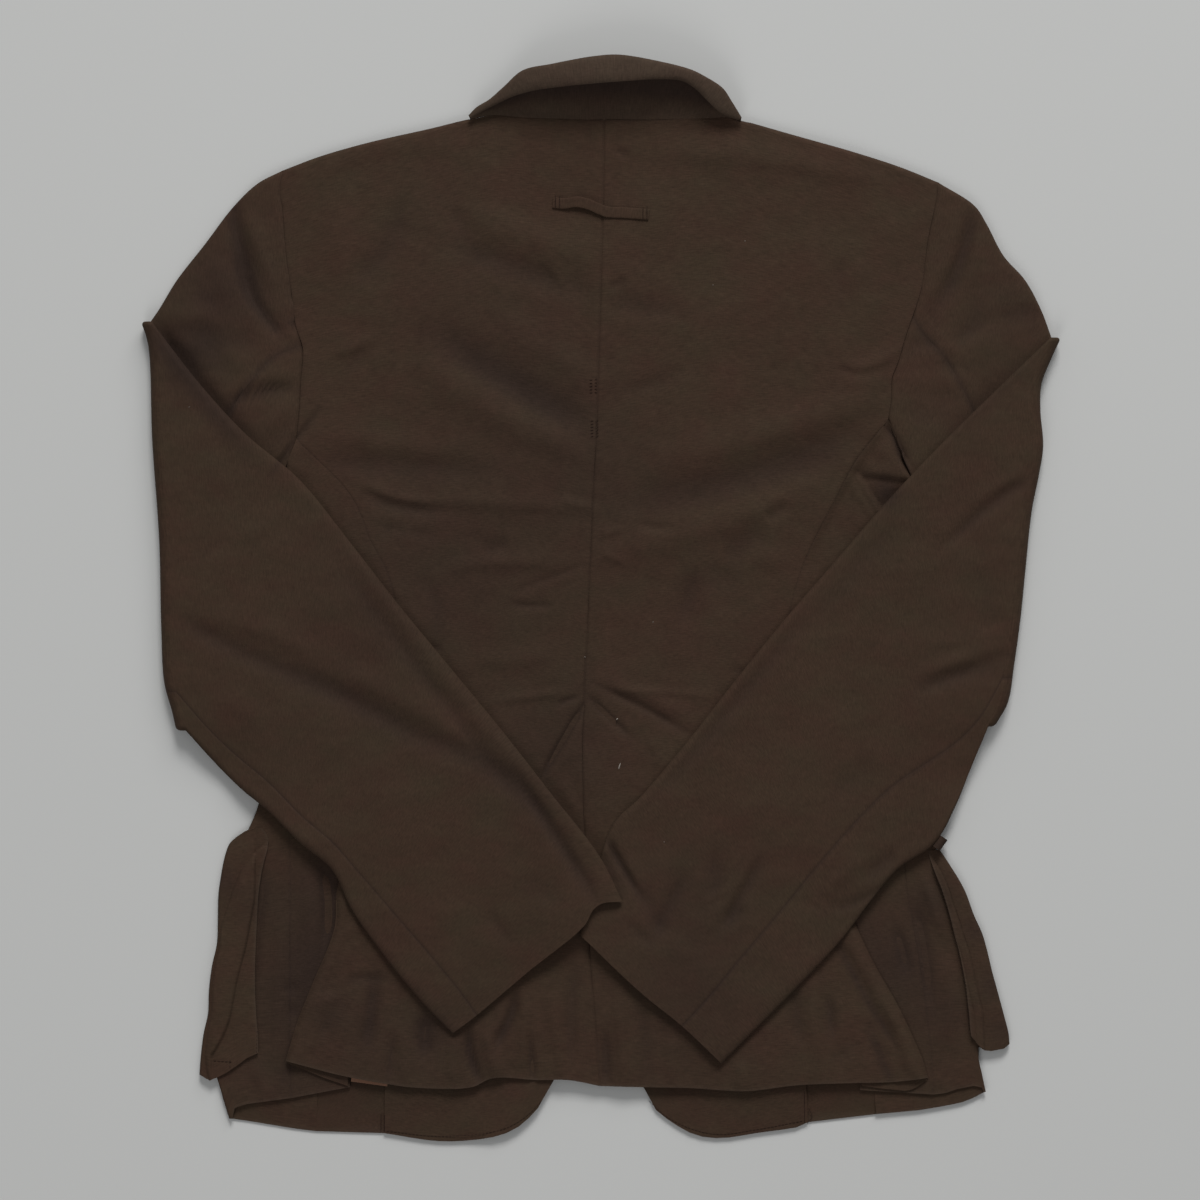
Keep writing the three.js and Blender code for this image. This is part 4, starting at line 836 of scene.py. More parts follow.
def sleevePieces(side):
    s, o = sleeves[side], body[side]
    n = sleeveRows
    parts = np.linspace(0, 1, 241)
    hole = line(o["armhole"], np.clip(parts / armholeShare, 0, 1))
    tail = np.clip((parts - armholeShare) / (1 - armholeShare), 0, 1)[:, None]
    start, end = np.array(o["underarm"]["back"], float), np.array(o["underarm"]["fold"], float)
    hole = np.where(tail > 0, start + (end - start) * tail, hole)
    foldLine = line(s["fold"], parts)

    def edges(rows, count):
        t = np.linspace(0, 1, count)
        return [line([(r[k], r[k + 1]) for r in rows], t) for k in (0, 2)]
    upper = fill(hole, foldLine, *edges(s["upper"], n["upper"]))
    lower = fill(foldLine, line(s["cuff"], parts), *edges(s["lower"], n["lower"]))
    middle = (layers["ground"] + layers["back"]) / 2
    outward = -1 if side == "left" else 1
    turn, half = sleeveForm["turn"], sleeveForm["half"]
    angles = np.linspace(0, math.pi, n["turn"] + 2)[1:-1]
    centre = np.concatenate([upper, np.repeat(lower[:1], len(angles), 0), lower])
    z = np.full(centre.shape[:2], middle)
    normalX, normalZ = np.zeros(len(centre)), np.ones(len(centre))
    k = n["upper"]
    for i, a in enumerate(angles):
        normalX[k + i], normalZ[k + i] = -outward * math.sin(a), math.cos(a)
        centre[k + i, :, 0] -= normalX[k + i] * turn / chart["square"]
        z[k + i] = middle + turn - turn * normalZ[k + i]
    k += len(angles)
    low = centre[k:]
    x, y = low[..., 0], low[..., 1]
    lift = 0
    if side == "left":
        lift = sleeveForm["cuffLift"] * ease(500, 574, x)
        lift += 1.4 * np.exp(-(((x - 310) / 70)**2 + ((y - 846) / 50)**2))
    spot = (222, 772) if side == "left" else (972, 778)
    off = np.hypot(x - spot[0], y - spot[1]) / 34
    far = ease(3.5, 35, np.arange(n["lower"]))[:, None]
    z[k:] = middle + 2 * turn + lift - sleeveForm["sag"] * np.exp(-off * off) - sleeveForm["sink"] * far
    halves = np.full(len(centre), half)
    halves[k:] = mix(half, sleeveForm["flatHalf"], far[:, 0])
    normalZ[k:] = -1
    visible = np.zeros(centre.shape[:2])
    visible[k:] = folded(lowerFolds[side], low) + unrest(low, 120, 0.4, 11) + unrest(low, 45, 0.18, 12)
    onUpper = folded(upperFolds[side], centre[:n["upper"]]) + unrest(centre[:n["upper"]], 60, 0.2, 13)
    width = np.linalg.norm(centre[:, 0] - centre[:, -1], axis=1) * chart["square"]
    down01 = np.clip((np.arange(len(centre)) - n["upper"] - len(angles)) / (n["lower"] - 1), 0, 1)
    before = ease(0.35, 1.0, np.arange(len(centre)) / (n["upper"] + len(angles)))
    inseam = mix(armholeShare, read(s["inseam"], 1, down01), before)
    backSeam = read(s["backSeam"], 1, np.clip(np.arange(len(centre)) / n["upper"], 0, 1))

    def place(i, f, offset):
        px = np.interp(f, parts, centre[i, :, 0]) + normalX[i] * offset * half / chart["square"]
        py = np.interp(f, parts, centre[i, :, 1])
        pz = np.interp(f, parts, z[i]) + normalZ[i] * offset * halves[i]
        pz += np.maximum(0, -offset) * np.interp(f, parts, visible[i])
        if i < n["upper"]:
            fade = ease(0, 6, n["upper"] - i)
            pz += np.maximum(0, offset) * np.interp(f, parts, onUpper[i]) * fade
        return np.stack([px, py, pz], -1)

    # Reach of the rounded edges of a section, as shares of its width.
    def rounding(i):
        apart = ease(-1, 14, abs(i - n["upper"] - 6))
        folding = n["upper"] - 4 <= i < n["upper"] + len(angles) + 4
        inner = half if folding else sleeveForm["roundInner"][side]
        inner = min(mix(half, inner, apart), 0.3 * width[i]) if i >= n["upper"] else half
        outer = min(mix(half, sleeveForm["roundOuter"], ease(6, 26, i - n["upper"])), 0.3 * width[i])
        return inner / width[i], outer / width[i]

    # A section from the back seam round the edge at 0 or 1 to the inseam.
    def section(i, back, edge, front):
        under = np.linspace(math.pi / 2, 0, around["under"])
        over = np.linspace(0, math.pi / 2, around["over"])[1:]
        hidden, reach = half / width[i], abs(front[0] - edge)
        return np.vstack([
            place(i, back, np.ones(len(back))),
            place(i, np.abs(edge - hidden * (1 - np.cos(under))), np.sin(under)),
            place(i, np.abs(edge - reach * (1 - np.cos(over))), -np.sin(over)),
            place(i, front[1:], -np.ones(len(front) - 1))])
    top, under = [], []
    for i in range(len(centre)):
        inner, outer = rounding(i)
        hidden = half / width[i]
        back = np.linspace(backSeam[i], hidden, around["topBack"])[:-1]
        top.append(section(i, back, 0, np.linspace(inner, inseam[i], around["topFront"])))
        back = np.linspace(backSeam[i], 1 - hidden, around["underBack"])[:-1]
        end = inseam[i] if inseam[i] < 1 - outer - 0.004 else 1 - outer - 0.01
        under.append(section(i, back, 1, np.linspace(1 - outer, end, around["underFront"])))
    out = []
    for rows in (top, under):
        q = np.array(rows)
        out.append(metres(q[..., :2], q[..., 2]))
    return out


# Collar sections from the left neck point to the right. Columns: seam x, y, roll x, y, leaf edge x, y,
# share of the full rise.
collarRows = [
    (470, 119, 469, 116, 471, 118, 0.1), (482, 116, 477, 108, 483, 110.5, 0.25),
    (496, 114.5, 490, 100, 497, 103.5, 0.45), (512, 115.5, 504, 88, 512, 96.5, 0.65),
    (532, 116.8, 523, 72, 533, 90.5, 0.85), (556, 118, 552, 65.5, 556, 87, 0.95),
    (594, 119.8, 594, 58, 594, 83.2, 1), (622, 120.4, 619, 56.5, 625, 80.8, 1),
    (655, 120.2, 658, 62.5, 660, 78.8, 1), (683, 118.6, 690, 70.5, 682, 80.5, 0.9),
    (697, 118, 706, 78.5, 695, 88, 0.75), (712, 117, 722, 89.5, 708, 101, 0.55),
    (728, 117, 730, 101, 720, 112, 0.35), (741, 120, 741, 118, 738, 119.5, 0.1),
]


def collarPieces():
    t = np.linspace(0, 1, 150)
    seam, roll, edge = (line([(r[k], r[k + 1]) for r in collarRows], t) for k in (0, 2, 4))
    shares = [(i / (len(collarRows) - 1), r[6]) for i, r in enumerate(collarRows)]
    rise = collarForm["roll"] * read(shares, 1, t)
    k = np.concatenate([[-0.09, -0.05], np.linspace(0, 1, 30)])
    up = np.clip(k, 0, 1)
    xy = seam[:, None] + (roll - seam)[:, None] * k[None, :, None]
    z = layers["back"] - 0.2 + rise[:, None] * up[None]**1.25 + unrest(xy, 40, 0.2, 22) * up
    z += folded([(540, 108, 600, 104, 670, 108, 6, -0.5)], xy)
    z -= 1.4 * np.clip(-k / 0.05, 0, 1)
    stand = metres(xy, z)
    steps = [(0, 0), (-0.035, 0.16), (-0.05, 0.42), (-0.03, 0.7), (0.04, 0.9), (0.14, 1.0), (0.3, 1.03),
             (0.48, 1.0), (0.66, 0.92), (0.82, 0.75), (0.93, 0.55), (1.0, 0.35)]
    shape = line(steps, np.linspace(0, 1, 40))
    xy = roll[:, None] + (edge - roll)[:, None] * shape[None, :, 0:1]
    lift = collarForm["leafRise"] * np.minimum(1, 0.35 + read(shares, 1, t))[:, None]
    z = layers["back"] + rise[:, None] + collarForm["leafGap"] + lift * shape[None, :, 1]
    return stand, metres(xy, z + unrest(xy, 40, 0.12, 21))


# A new node with the values of its inputs; an underscore in a name stands for a space.
def put(nodes, kind, **values):
    node = nodes.new(kind)
    for name, value in values.items():
        node.inputs[name.replace("_", " ")].default_value = value
    return node


def scaled(tree, source, stretch):
    node = tree.nodes.new("ShaderNodeVectorMath")
    node.operation = "MULTIPLY"
    node.inputs[1].default_value = stretch
    tree.links.new(source, node.inputs[0])
    return node.outputs[0]


def weaveGroup():
    g = bpy.data.node_groups.new("clothWeave", "ShaderNodeTree")
    g.interface.new_socket("Height", in_out="OUTPUT", socket_type="NodeSocketFloat")
    g.interface.new_socket("Fleck", in_out="OUTPUT", socket_type="NodeSocketFloat")
    nodes, links = g.nodes, g.links
    leave = nodes.new("NodeGroupOutput")
    uv = nodes.new("ShaderNodeUVMap")
    uv.uv_map = "grain"

    def threads(stretch, size):
        noise = put(nodes, "ShaderNodeTexNoise", Scale=size, Detail=2, Roughness=0.6)
        links.new(scaled(g, uv.outputs["UV"], stretch), noise.inputs["Vector"])
        return noise.outputs["Fac"]

    def blend(a, b, share):
        m = nodes.new("ShaderNodeMix")
        m.inputs[0].default_value = share
        links.new(a, m.inputs[2])
        links.new(b, m.inputs[3])
        return m.outputs[0]
    weft = threads((0.16, 1, 1), cloth["weft"])
    warp = threads((1, 0.2, 1), cloth["warp"])
    fleck = blend(weft, warp, 0.32)
    links.new(fleck, leave.inputs["Fleck"])
    links.new(fleck, leave.inputs["Height"])
    return g


def clothMaterial(name, weave):
    m = bpy.data.materials.new(name)
    m.use_nodes = True
    nodes, links = m.node_tree.nodes, m.node_tree.links
    shader = nodes["Principled BSDF"]
    shader.inputs["Roughness"].default_value = 0.82
    shader.inputs["Sheen Weight"].default_value = cloth["sheen"]
    shader.inputs["Sheen Roughness"].default_value = 0.45
    shader.inputs["Sheen Tint"].default_value = (0.75, 0.6, 0.48, 1)
    shader.inputs["Specular IOR Level"].default_value = 0.08
    group = nodes.new("ShaderNodeGroup")
    group.node_tree = weave
    place = nodes.new("ShaderNodeTexCoord")

    def cloud(size, detail, low, high, stretch=None):
        noise = put(nodes, "ShaderNodeTexNoise", Scale=size, Detail=detail, Roughness=0.6)
        source = place.outputs["Object"]
        if stretch:
            source = scaled(m.node_tree, source, stretch)
        links.new(source, noise.inputs["Vector"])
        span = put(nodes, "ShaderNodeMapRange", From_Min=0.32, From_Max=0.68, To_Min=low, To_Max=high)
        links.new(noise.outputs["Fac"], span.inputs["Value"])
        return span.outputs[0]

    def tint(first, second, share):
        hue = nodes.new("ShaderNodeMix")
        hue.data_type = "RGBA"
        for socket, value in ((hue.inputs[6], first), (hue.inputs[7], second)):
            if isinstance(value, tuple):
                socket.default_value = (*value, 1)
            else:
                links.new(value, socket)
        links.new(share, hue.inputs[0])
        return hue.outputs[2]

    def deepen(colour, factor):
        tone = nodes.new("ShaderNodeMix")
        tone.data_type = "RGBA"
        tone.blend_type = "MULTIPLY"
        tone.inputs[0].default_value = 1
        links.new(colour, tone.inputs[6])
        links.new(factor, tone.inputs[7])
        return tone.outputs[2]

    def marked(attribute):
        found = nodes.new("ShaderNodeAttribute")
        found.attribute_name = attribute
        return found.outputs["Fac"]
    shot = tint(cloth["olive"], cloth["rust"], cloud(38, 5, 0.25, 1.0, (0.7, 1, 1)))
    # The purple tint is partly the shot cloth's own hue and partly painted shade; the pale tint is painted
    # light and a paler line at hem rims.
    shot = tint(shot, cloth["purpleAndShade"], marked("purpleAndShade"))
    shot = tint(shot, cloth["paintedLightAndPale"], marked("paintedLightAndPale"))
    shot = deepen(shot, cloud(11, 4, 0.965, 1.035))
    shot = deepen(shot, cloud(140, 3, 0.95, 1.05, (0.6, 1, 1)))
    fleck = put(nodes, "ShaderNodeMapRange", From_Min=0.3, From_Max=0.7,
                To_Min=1 - cloth["fleck"], To_Max=1 + cloth["fleck"])
    links.new(group.outputs["Fleck"], fleck.inputs["Value"])
    links.new(deepen(shot, fleck.outputs[0]), shader.inputs["Base Color"])
    wrinkle = put(nodes, "ShaderNodeTexNoise", Scale=60, Detail=6, Roughness=0.55)
    links.new(place.outputs["Object"], wrinkle.inputs["Vector"])
    soft = put(nodes, "ShaderNodeBump", Strength=0.42, Distance=0.002)
    links.new(wrinkle.outputs["Fac"], soft.inputs["Height"])
    fine = put(nodes, "ShaderNodeBump", Strength=0.3, Distance=0.0002)
    links.new(group.outputs["Height"], fine.inputs["Height"])
    links.new(soft.outputs[0], fine.inputs["Normal"])
    links.new(fine.outputs[0], shader.inputs["Normal"])
    return m


def plainMaterial(name, colour, roughness, sheen=0.0):
    m = bpy.data.materials.new(name)
    m.use_nodes = True
    shader = m.node_tree.nodes["Principled BSDF"]
    shader.inputs["Base Color"].default_value = (*colour, 1)
    shader.inputs["Roughness"].default_value = roughness
    shader.inputs["Sheen Weight"].default_value = sheen
    shader.inputs["Specular IOR Level"].default_value = 0.12
    return m


print("materials")
weave = weaveGroup()
materials["shot_cloth"] = clothMaterial("shotCloth", weave)
materials["woven_tape"] = plainMaterial("wovenTape", (0.15, 0.075, 0.045), 0.4, 0.1)
materials["thread"] = plainMaterial("thread", (0.012, 0.0055, 0.004), 0.9)

# The chart is set down where the pleat solid lies.
pleatTop = body["left"]["pleatTop"]
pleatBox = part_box("pleat_left")
pleatX = min(read(body["left"]["rows"], columnOf["back"], np.linspace(pleatTop, pleatEnd, 7)).min(), 287)
shift[0] = (pleatX - chart["middleX"]) * chart["square"] / 1000 - pleatBox[0].x
shift[1] = (chart["middleY"] - pleatTop) * chart["square"] / 1000 - pleatBox[1].y
print("shift", [round(v * 1000, 3) for v in shift])

print("body")
for side in ("left", "right"):
    o = body[side]
    shell(f"back_{side}", backPanel(side), seamSides={"near": 0.6, "far": 0.2, "start": 0.3},
          hemSides=["end"])

    xy, z = frontGrid(side, frontRows)
    shell(f"front_{side}", metres(xy, z), hemSides=["end"])
    shell(f"facing_{side}", metres(xy[:, facingAt:], z[:, facingAt:] + frontForm["facingLift"]))

    near = down(side, "tuck", o["underarm"]["back"], o["sideHem"]["tuck"], sideRows)
    far = down(side, "seam", o["underarm"]["seam"], o["sideHem"]["seam"], sideRows)
    us = spread(40, 60)
    start = near[0] + (far[0] - near[0]) * us[:, None]
    end = near[-1] + (far[-1] - near[-1]) * us[:, None]
    xy = fill(start, end, near, far)
    z = sideHeight(xy) + folded(sideFolds, xy) - hollow(xy) + unrest(xy, 60, 0.15, 31)
    shell(f"side_back_{side}", metres(xy, z), seamSides={"near": 0.08, "far": 0.12}, hemSides=["end"],
          deep=shadeBesidePleat(side, xy))

    inner = down(side, "front", o["underarm"]["back"], o["sideHem"]["front"], sideRows)
    fold = down(side, "fold", o["underarm"]["side"], o["sideHem"]["fold"], sideRows)
    xy, z = sectionWrapped(inner, fold, far, groundHeight(fold), sideHeight(fold), sidePoints)
    over = np.arange(xy.shape[1]) >= sidePoints["under"] + sidePoints["turn"]
    z[:, over] += folded(sideFolds, xy[:, over]) + unrest(xy[:, over], 60, 0.12, 32)
    z[:, over] -= hollow(xy[:, over])
    settle = ease(1036, 1080, xy[..., 1])
    hem = xy[-1].copy()
    for part, table in ((over, "sideHemLine"), (~over, "underHemLine")):
        xy[:, part, 1] += settle[:, part] * (np.interp(hem[part, 0], *o[table]) - hem[part, 1])
    shell(f"side_front_{side}", metres(xy, z), seamSides={"far": 0.15, "start": 0.4}, hemSides=["end"],
          deep=shadeBesidePleat(side, xy) * over)

    ys = np.linspace(o["pleatTop"], pleatEnd, 40)
    near, far = (np.vstack([np.stack([read(o["rows"], columnOf[column], ys), ys], 1), [o["pleatHem"][k]]])
                 for column, k in (("back", 0), ("tuck", -1)))
    us = np.linspace(0, 1, 16)
    start = near[0] + (far[0] - near[0]) * us[:, None]
    xy = fill(start, line(o["pleatHem"], us), near, far)
    shell(f"pleat_{side}", metres(xy, np.full(xy.shape[:2], layers["pleat"])))

    table = pocketRows[side]
    ys = np.linspace(table[0][0], table[-1][0], pocketPoints["rows"])
    points = [np.stack([read(table, k, ys), ys], 1) for k in (1, 2, 3)]
    low, high = np.full(len(ys), pocketForm["under"]), np.full(len(ys), pocketForm["over"])
    xy, z = sectionWrapped(*points, low, high, pocketPoints)
    settle = ease(table[-1][0] - 50, table[-1][0], xy[..., 1])
    xy[..., 1] += settle * (np.interp(xy[-1, :, 0], *pocketHem[side]) - xy[-1, :, 1])
    merge = ease(0, 26, ys - ys[0])[:, None]
    top = pocketPoints["under"] + pocketPoints["turn"]
    z[:, top:] += merge * (pocketHeight(side, xy[:, top:]) + unrest(xy[:, top:], 40, 0.2, 41))
    z[:, top - 3:] -= (1 - merge) * pocketForm["sewnDown"]
    shell(f"pocket_{side}", metres(xy, z), hemSides=["far"])

print("sleeves")
for side in ("left", "right"):
    for layer, p in zip(("top", "under"), sleevePieces(side)):
        shell(f"{layer}_sleeve_{side}", p, seamSides={"far": 0.35, "near": 0.4, "start": 0.9})

print("collar and small pieces")
stand, leaf = collarPieces()
down01 = np.linspace(0, 1, stand.shape[1])[None]
# The stand is painted darker towards the roll, the leaf's painted shadow, and paler near the seam, painted
# light.
shell("collar_stand", stand, paintedLightAndPale=0.28 * (1 - ease(0.15, 0.5, down01)), deep=ease(0.2, 0.6, down01))
# The leaf is painted paler all over: painted light on its upturned face.
shell("collar_leaf", leaf, thickness=collarForm["cloth"], paintedLightAndPale=0.42)

hangingLoop = {"x0": 553, "y0": 202.5, "x1": 649, "y1": 214.5, "width": 6.6, "thick": 0.8, "cloth": 0.4,
               "lift": 1.0, "slack": 1.5}
o = hangingLoop
t = np.linspace(0, 1, 70)[:, None]
angle = (2 * math.pi * np.linspace(0.004, 0.996, 44) + 1.5 * math.pi)[None, :]
a, b = np.array([o["x0"], o["y0"]], float), np.array([o["x1"], o["y1"]], float)
across = np.array([-(b - a)[1], (b - a)[0]]) / np.linalg.norm(b - a)
flatCos = np.sign(np.cos(angle)) * np.abs(np.cos(angle))**0.5
flatSin = np.sign(np.sin(angle)) * np.abs(np.sin(angle))**0.8
xy = a + (b - a) * t[..., None] + across * (flatCos * o["width"] / 2 / chart["square"])[..., None]
bends = [(0, 0), (0.12, -0.4), (0.25, -3.6), (0.37, -2.6), (0.48, 0.8), (0.57, 2.6), (0.74, 1.4), (1, 0)]
xy[..., 1] += read(bends, 1, t)
z = backHeight(a + (b - a) * t)[:, None] + o["lift"]
z = z + o["slack"] * np.sin(math.pi * np.clip(t * 1.5, 0, 1))**2
shell("hanging_loop", metres(xy, z + flatSin * o["thick"] / 2), thickness=o["cloth"])

tape = {"x": 351, "y": 1081.4, "turn": -0.136, "length": 23, "width": 11, "height": 4.7, "thick": 0.5}
turn = tape["turn"]
corner = np.array([tape["x"], tape["y"]])
a = np.array([math.cos(turn), -math.sin(turn)]) * tape["length"] / chart["square"]
b = np.array([-math.sin(turn), -math.cos(turn)]) * tape["width"] / chart["square"]
t, s = np.linspace(0, 1, 20)[:, None, None], np.linspace(0, 1, 10)[None, :, None]
xy = corner + a * t + b * s
shell("care_tape", metres(xy, np.full(xy.shape[:2], tape["height"])), "tape_care", "woven_tape",
      thickness=tape["thick"])

tab = {"x": 940, "y": 843, "length": 8.4, "radius": 2.5, "turn": 0.95, "height": 7.9, "deep": 0.8}
angle = math.pi * (0.1 + 1.8 * np.linspace(0, 1, 44))[None, :]
along = np.array([math.cos(tab["turn"]), -math.sin(tab["turn"])])
across = np.array([-math.sin(tab["turn"]), -math.cos(tab["turn"])])
t = (np.linspace(-0.5, 0.5, 14) * tab["length"] / chart["square"])[:, None, None]
xy = np.array([tab["x"], tab["y"]]) + along * t
xy = xy + across * (tab["radius"] / chart["square"] * np.cos(angle))[..., None]
z = np.repeat(tab["height"] + tab["radius"] * np.sin(angle), len(t), 0)
shell("waist_tab_right", metres(xy, z), "cloth_waist_tab", deep=tab["deep"])

print("stitches and lint")
sewing = {"pitch": 2.3, "length": 1.9, "width": 0.34, "tackPitch": 0.9, "tackLength": 1.3, "proud": 0.12}
stitchLines = {
    "loop": [[(555.5, 196), (555.5, 207)], [(559.5, 197), (559.5, 207)], [(643, 208), (643, 219)],
             [(647, 207), (647, 219)]],
    "facing": [[(381, 1115), (381, 1131)], [(384.5, 1116), (384.5, 1131)], [(804.5, 1092), (804.5, 1123)],
               [(809, 1109), (812, 1117), (807.5, 1123)]],
    "pocket": [[(257, 1032), (256.5, 1052)], [(215, 1061), (230, 1062)], [(230, 1062), (230, 1072)],
               [(933, 869), (942, 890), (949, 913), (954, 934), (958, 951), (962, 970), (966, 986),
                (968, 1010), (969, 1033)]],
    "front": [[(540, 1103), (527, 1116), (511, 1126), (493, 1132), (440, 1136.5), (388, 1131.5)],
              [(650, 1102), (667, 1117), (690, 1128.5), (719, 1134.5), (755, 1130), (801, 1121.5)]],
    "centre": [[(591, 380 + 3.2 * i), (596, 379.6 + 3.2 * i)] for i in range(5)]
              + [[(592, 421 + 3.1 * i), (597, 420.6 + 3.1 * i)] for i in range(6)],
}
onPieces = {
    "loop": ["hanging_loop"], "facing": ["facing_left", "facing_right"],
    "pocket": ["pocket_left", "pocket_right", "side_front_right", "side_back_right"],
    "front": ["front_left", "front_right", "facing_left", "facing_right"],
    "centre": ["back_left", "back_right"],
}


# The highest cloth at each chart point, among the pieces named.
def surface(nodesNamed, xy):
    best = np.full(len(xy), -1.0)
    for node in nodesNamed:
        p, _ = grids[node]
        z = p[..., 2].ravel()
        s = chart["square"] / 1000 * (1 - z / camera["height"])
        x = (p[..., 0].ravel() + shift[0]) / s + chart["middleX"]
        y = chart["middleY"] - (p[..., 1].ravel() + shift[1]) / s
        for i, (px, py) in enumerate(xy):
            close = np.hypot(x - px, y - py)
            near = close < max(close.min() + 0.8, 1.5)
            if close.min() < 5:
                best[i] = max(best[i], z[near].max() * 1000)
    known = best > 0
    return np.interp(np.arange(len(best)), np.arange(len(best))[known], best[known])


def stitchTree():
    g = bpy.data.node_groups.new("stitchRun", "GeometryNodeTree")
    g.interface.new_socket("Lines", in_out="INPUT", socket_type="NodeSocketGeometry")
    for name in ("Pitch", "Length", "Width"):
        g.interface.new_socket(name, in_out="INPUT", socket_type="NodeSocketFloat")
    g.interface.new_socket("Thread", in_out="INPUT", socket_type="NodeSocketMaterial")
    g.interface.new_socket("Stitches", in_out="OUTPUT", socket_type="NodeSocketGeometry")
    nodes, links = g.nodes, g.links
    enter, leave = nodes.new("NodeGroupInput"), nodes.new("NodeGroupOutput")
    curve = nodes.new("GeometryNodeMeshToCurve")
    links.new(enter.outputs["Lines"], curve.inputs[0])
    points = nodes.new("GeometryNodeCurveToPoints")
    points.mode = "LENGTH"
    links.new(curve.outputs[0], points.inputs["Curve"])
    links.new(enter.outputs["Pitch"], points.inputs["Length"])
    ball = put(nodes, "GeometryNodeMeshUVSphere", Segments=6, Rings=5, Radius=0.5)
    shape = nodes.new("ShaderNodeCombineXYZ")
    for axis, name in zip("XYZ", ("Width", "Width", "Length")):
        links.new(enter.outputs[name], shape.inputs[axis])
    stretch = nodes.new("GeometryNodeTransform")
    links.new(ball.outputs["Mesh"], stretch.inputs["Geometry"])
    links.new(shape.outputs[0], stretch.inputs["Scale"])
    place = nodes.new("GeometryNodeInstanceOnPoints")
    links.new(points.outputs["Points"], place.inputs["Points"])
    links.new(stretch.outputs[0], place.inputs["Instance"])
    links.new(points.outputs["Rotation"], place.inputs["Rotation"])
    real = nodes.new("GeometryNodeRealizeInstances")
    links.new(place.outputs[0], real.inputs[0])
    paint = nodes.new("GeometryNodeSetMaterial")
    links.new(real.outputs[0], paint.inputs["Geometry"])
    links.new(enter.outputs["Thread"], paint.inputs["Material"])
    links.new(paint.outputs[0], leave.inputs[0])
    return g


def stitches(name, tree):
    verts, edges = [], []
    for run in stitchLines[name]:
        length = sum(math.dist(a, b) for a, b in zip(run, run[1:]))
        xy = line(run, np.linspace(0, 1, max(4, int(length / 2))))
        z = surface(onPieces[name], xy) + cloth["thickness"] / 2 + sewing["proud"]
        edges += [(len(verts) + i, len(verts) + i + 1) for i in range(len(xy) - 1)]
        verts += [tuple(v) for v in metres(xy, z)]
    mesh = bpy.data.meshes.new(f"run_{name}")
    mesh.from_pydata(verts, edges, [])
    obj = bpy.data.objects.new(f"run_{name}", mesh)
    bpy.context.collection.objects.link(obj)
    sockets = {item.name: item.identifier for item in tree.interface.items_tree}
    modifier = obj.modifiers.new("stitches", "NODES")
    modifier.node_group = tree
    tack = name in ("loop", "facing")
    modifier[sockets["Pitch"]] = sewing["tackPitch" if tack else "pitch"] / 1000
    modifier[sockets["Length"]] = sewing["tackLength" if tack else "length"] / 1000
    modifier[sockets["Width"]] = sewing["width"] / 1000
    modifier[sockets["Thread"]] = materials["thread"]
    depsgraph = bpy.context.evaluated_depsgraph_get()
    plain = bpy.data.meshes.new_from_object(obj.evaluated_get(depsgraph), depsgraph=depsgraph)
    bpy.data.objects.remove(obj)
    plain.name = f"stitches_{name}"
    piece = bpy.data.objects.new(f"stitches_{name}", plain)
    bpy.context.collection.objects.link(piece)
    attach(piece, "root")
    print("stitches", name, len(plain.polygons))


tree = stitchTree()
for name in stitchLines:
    stitches(name, tree)

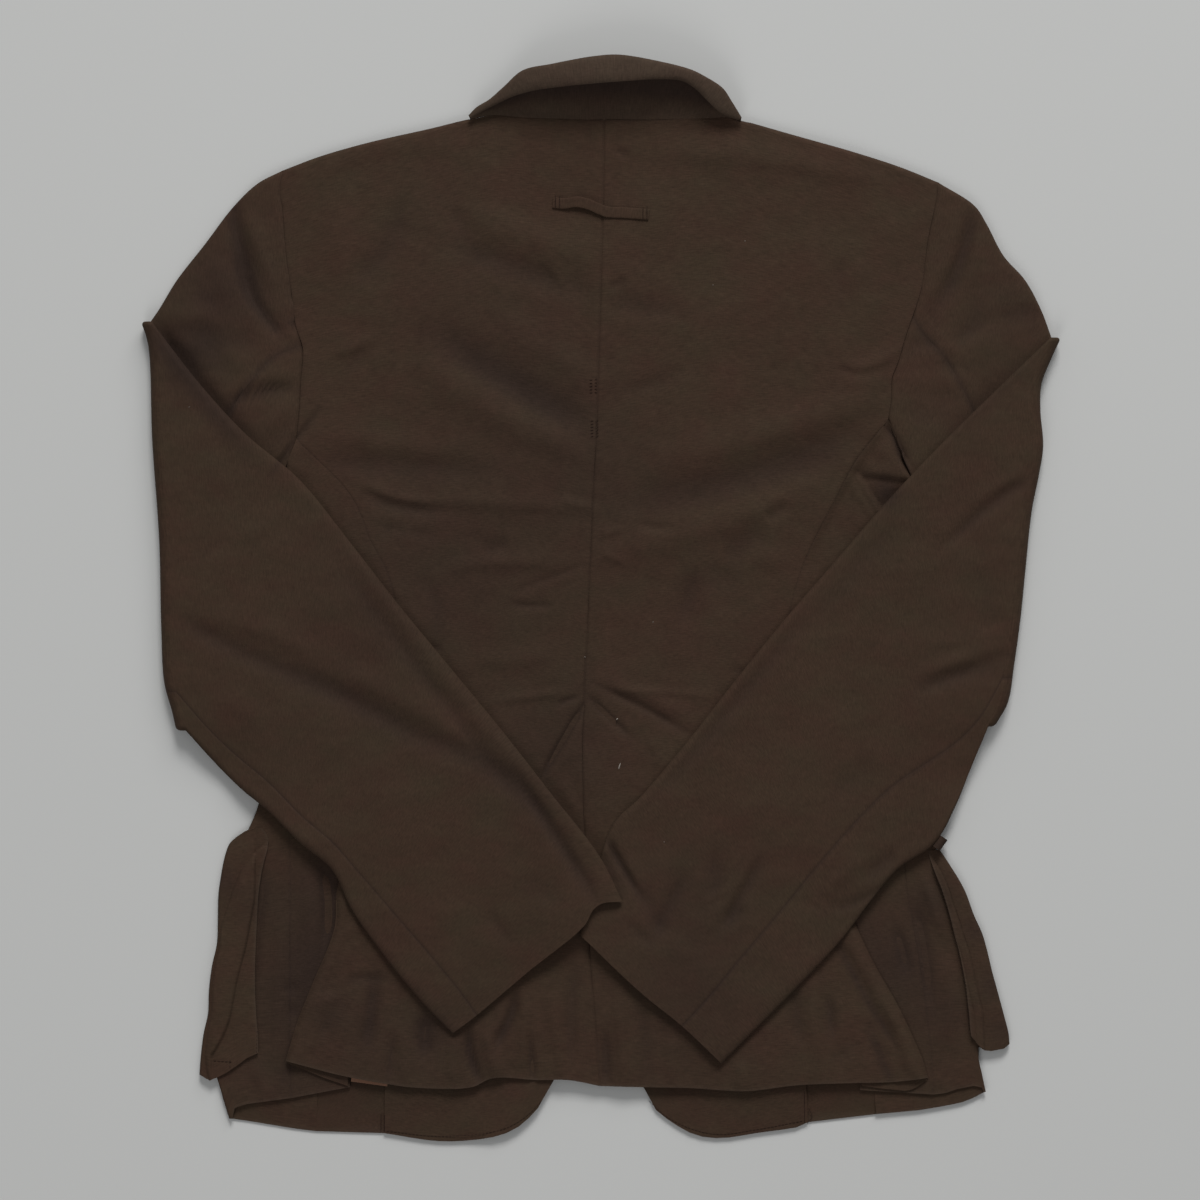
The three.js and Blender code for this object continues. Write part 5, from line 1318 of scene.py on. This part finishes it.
# Bits of white lint. Columns: chart x, y, length and width in mm, turn, piece under it.
lint = [
    (585, 657, 0.9, 0.5, 0.2, "back_left"), (653, 622, 0.8, 0.5, 1.1, "back_right"),
    (617, 719, 1.5, 0.9, 0.9, "back_right"), (619.5, 766, 4.6, 0.9, 1.25, "back_right"),
    (713, 285, 0.7, 0.5, 0.0, "back_right"), (745, 241, 0.7, 0.6, 0.6, "back_right"),
    (189, 407, 0.8, 0.5, 0.4, "top_sleeve_left"), (664, 842, 0.7, 0.5, 0.3, "top_sleeve_right"),
]
verts, faces = [], []
for k, (x, y, long, wide, turn, node) in enumerate(lint):
    top = surface([node], [(x, y)])[0] + cloth["thickness"] / 2
    rng = np.random.default_rng(100 + k)
    ringed = [(x, y, top + 0.45)] + [(0, 0, 0)] * 16 + [(x, y, top - 0.3)]
    for ring, (reach, lift) in enumerate(((0.6, 0.32), (1.0, 0.0))):
        for i in range(8):
            angle = i * math.pi / 4
            r = reach * rng.uniform(0.7, 1.1)
            u, v = math.cos(angle) * long / 2 * r, math.sin(angle) * wide / 2 * r
            ringed[1 + ring * 8 + i] = (x + (u * math.cos(turn) - v * math.sin(turn)) / chart["square"],
                                        y - (u * math.sin(turn) + v * math.cos(turn)) / chart["square"],
                                        top + lift)
    first = len(verts)
    points = np.array(ringed)
    verts += [tuple(v) for v in metres(points[:, :2], points[:, 2])]
    for i in range(8):
        j = (i + 1) % 8
        faces += [(first, first + 1 + i, first + 1 + j),
                  (first + 1 + i, first + 9 + i, first + 9 + j, first + 1 + j),
                  (first + 9 + i, first + 17, first + 9 + j)]
mesh = bpy.data.meshes.new("lint_bits")
mesh.from_pydata(verts, [], faces)
lintPiece = bpy.data.objects.new("lint_bits", mesh)
bpy.context.collection.objects.link(lintPiece)
mesh.materials.append(plainMaterial("whiteLint", (0.22, 0.195, 0.17), 0.9))
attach(lintPiece, "root")

print("floor, light and camera")
bpy.ops.mesh.primitive_plane_add(size=6, location=(0, 0, 0))
floor = bpy.context.object
floor.name = "floor"
floor.data.materials.append(plainMaterial("paleFloor", (0.42, 0.42, 0.41), 0.9))

world = bpy.data.worlds.new("sky")
bpy.context.scene.world = world
world.use_nodes = True
world.node_tree.nodes["Background"].inputs[0].default_value = (0.95, 0.97, 1.0, 1)
world.node_tree.nodes["Background"].inputs[1].default_value = light["sky"]


def areaLight(name, place, power, size):
    data = bpy.data.lights.new(name, "AREA")
    data.energy = power
    data.size = size
    lamp = bpy.data.objects.new(name, data)
    lamp.location = place
    lamp.rotation_euler = (-Vector(place)).to_track_quat("-Z", "Y").to_euler()
    bpy.context.collection.objects.link(lamp)
    return lamp


areaLight("key", (0.5, 5.8, 4.0), light["key"], light["keySize"])
areaLight("side", (1.5, 3.2, 1.7), light["side"], 1.4)
areaLight("fill", (-1.0, -3.0, 2.6), light["fill"], 2.0)

lens = bpy.data.cameras.new("camera")
lens.sensor_width = 36
lens.lens = 36 * camera["height"] / camera["frame"]
eye = bpy.data.objects.new("camera", lens)
eye.location = (-shift[0], -0.00063 - shift[1], camera["height"])
bpy.context.collection.objects.link(eye)
bpy.context.scene.camera = eye
bpy.context.scene.view_settings.view_transform = "Standard"

total = sum(len(o.data.loops) - 2 * len(o.data.polygons) for o in bpy.data.objects
            if o.type == "MESH" and o.name.startswith(("cloth", "tape")))
print("triangles", total)
for name, cut in cuts.items():
    print("cut", name, cut)
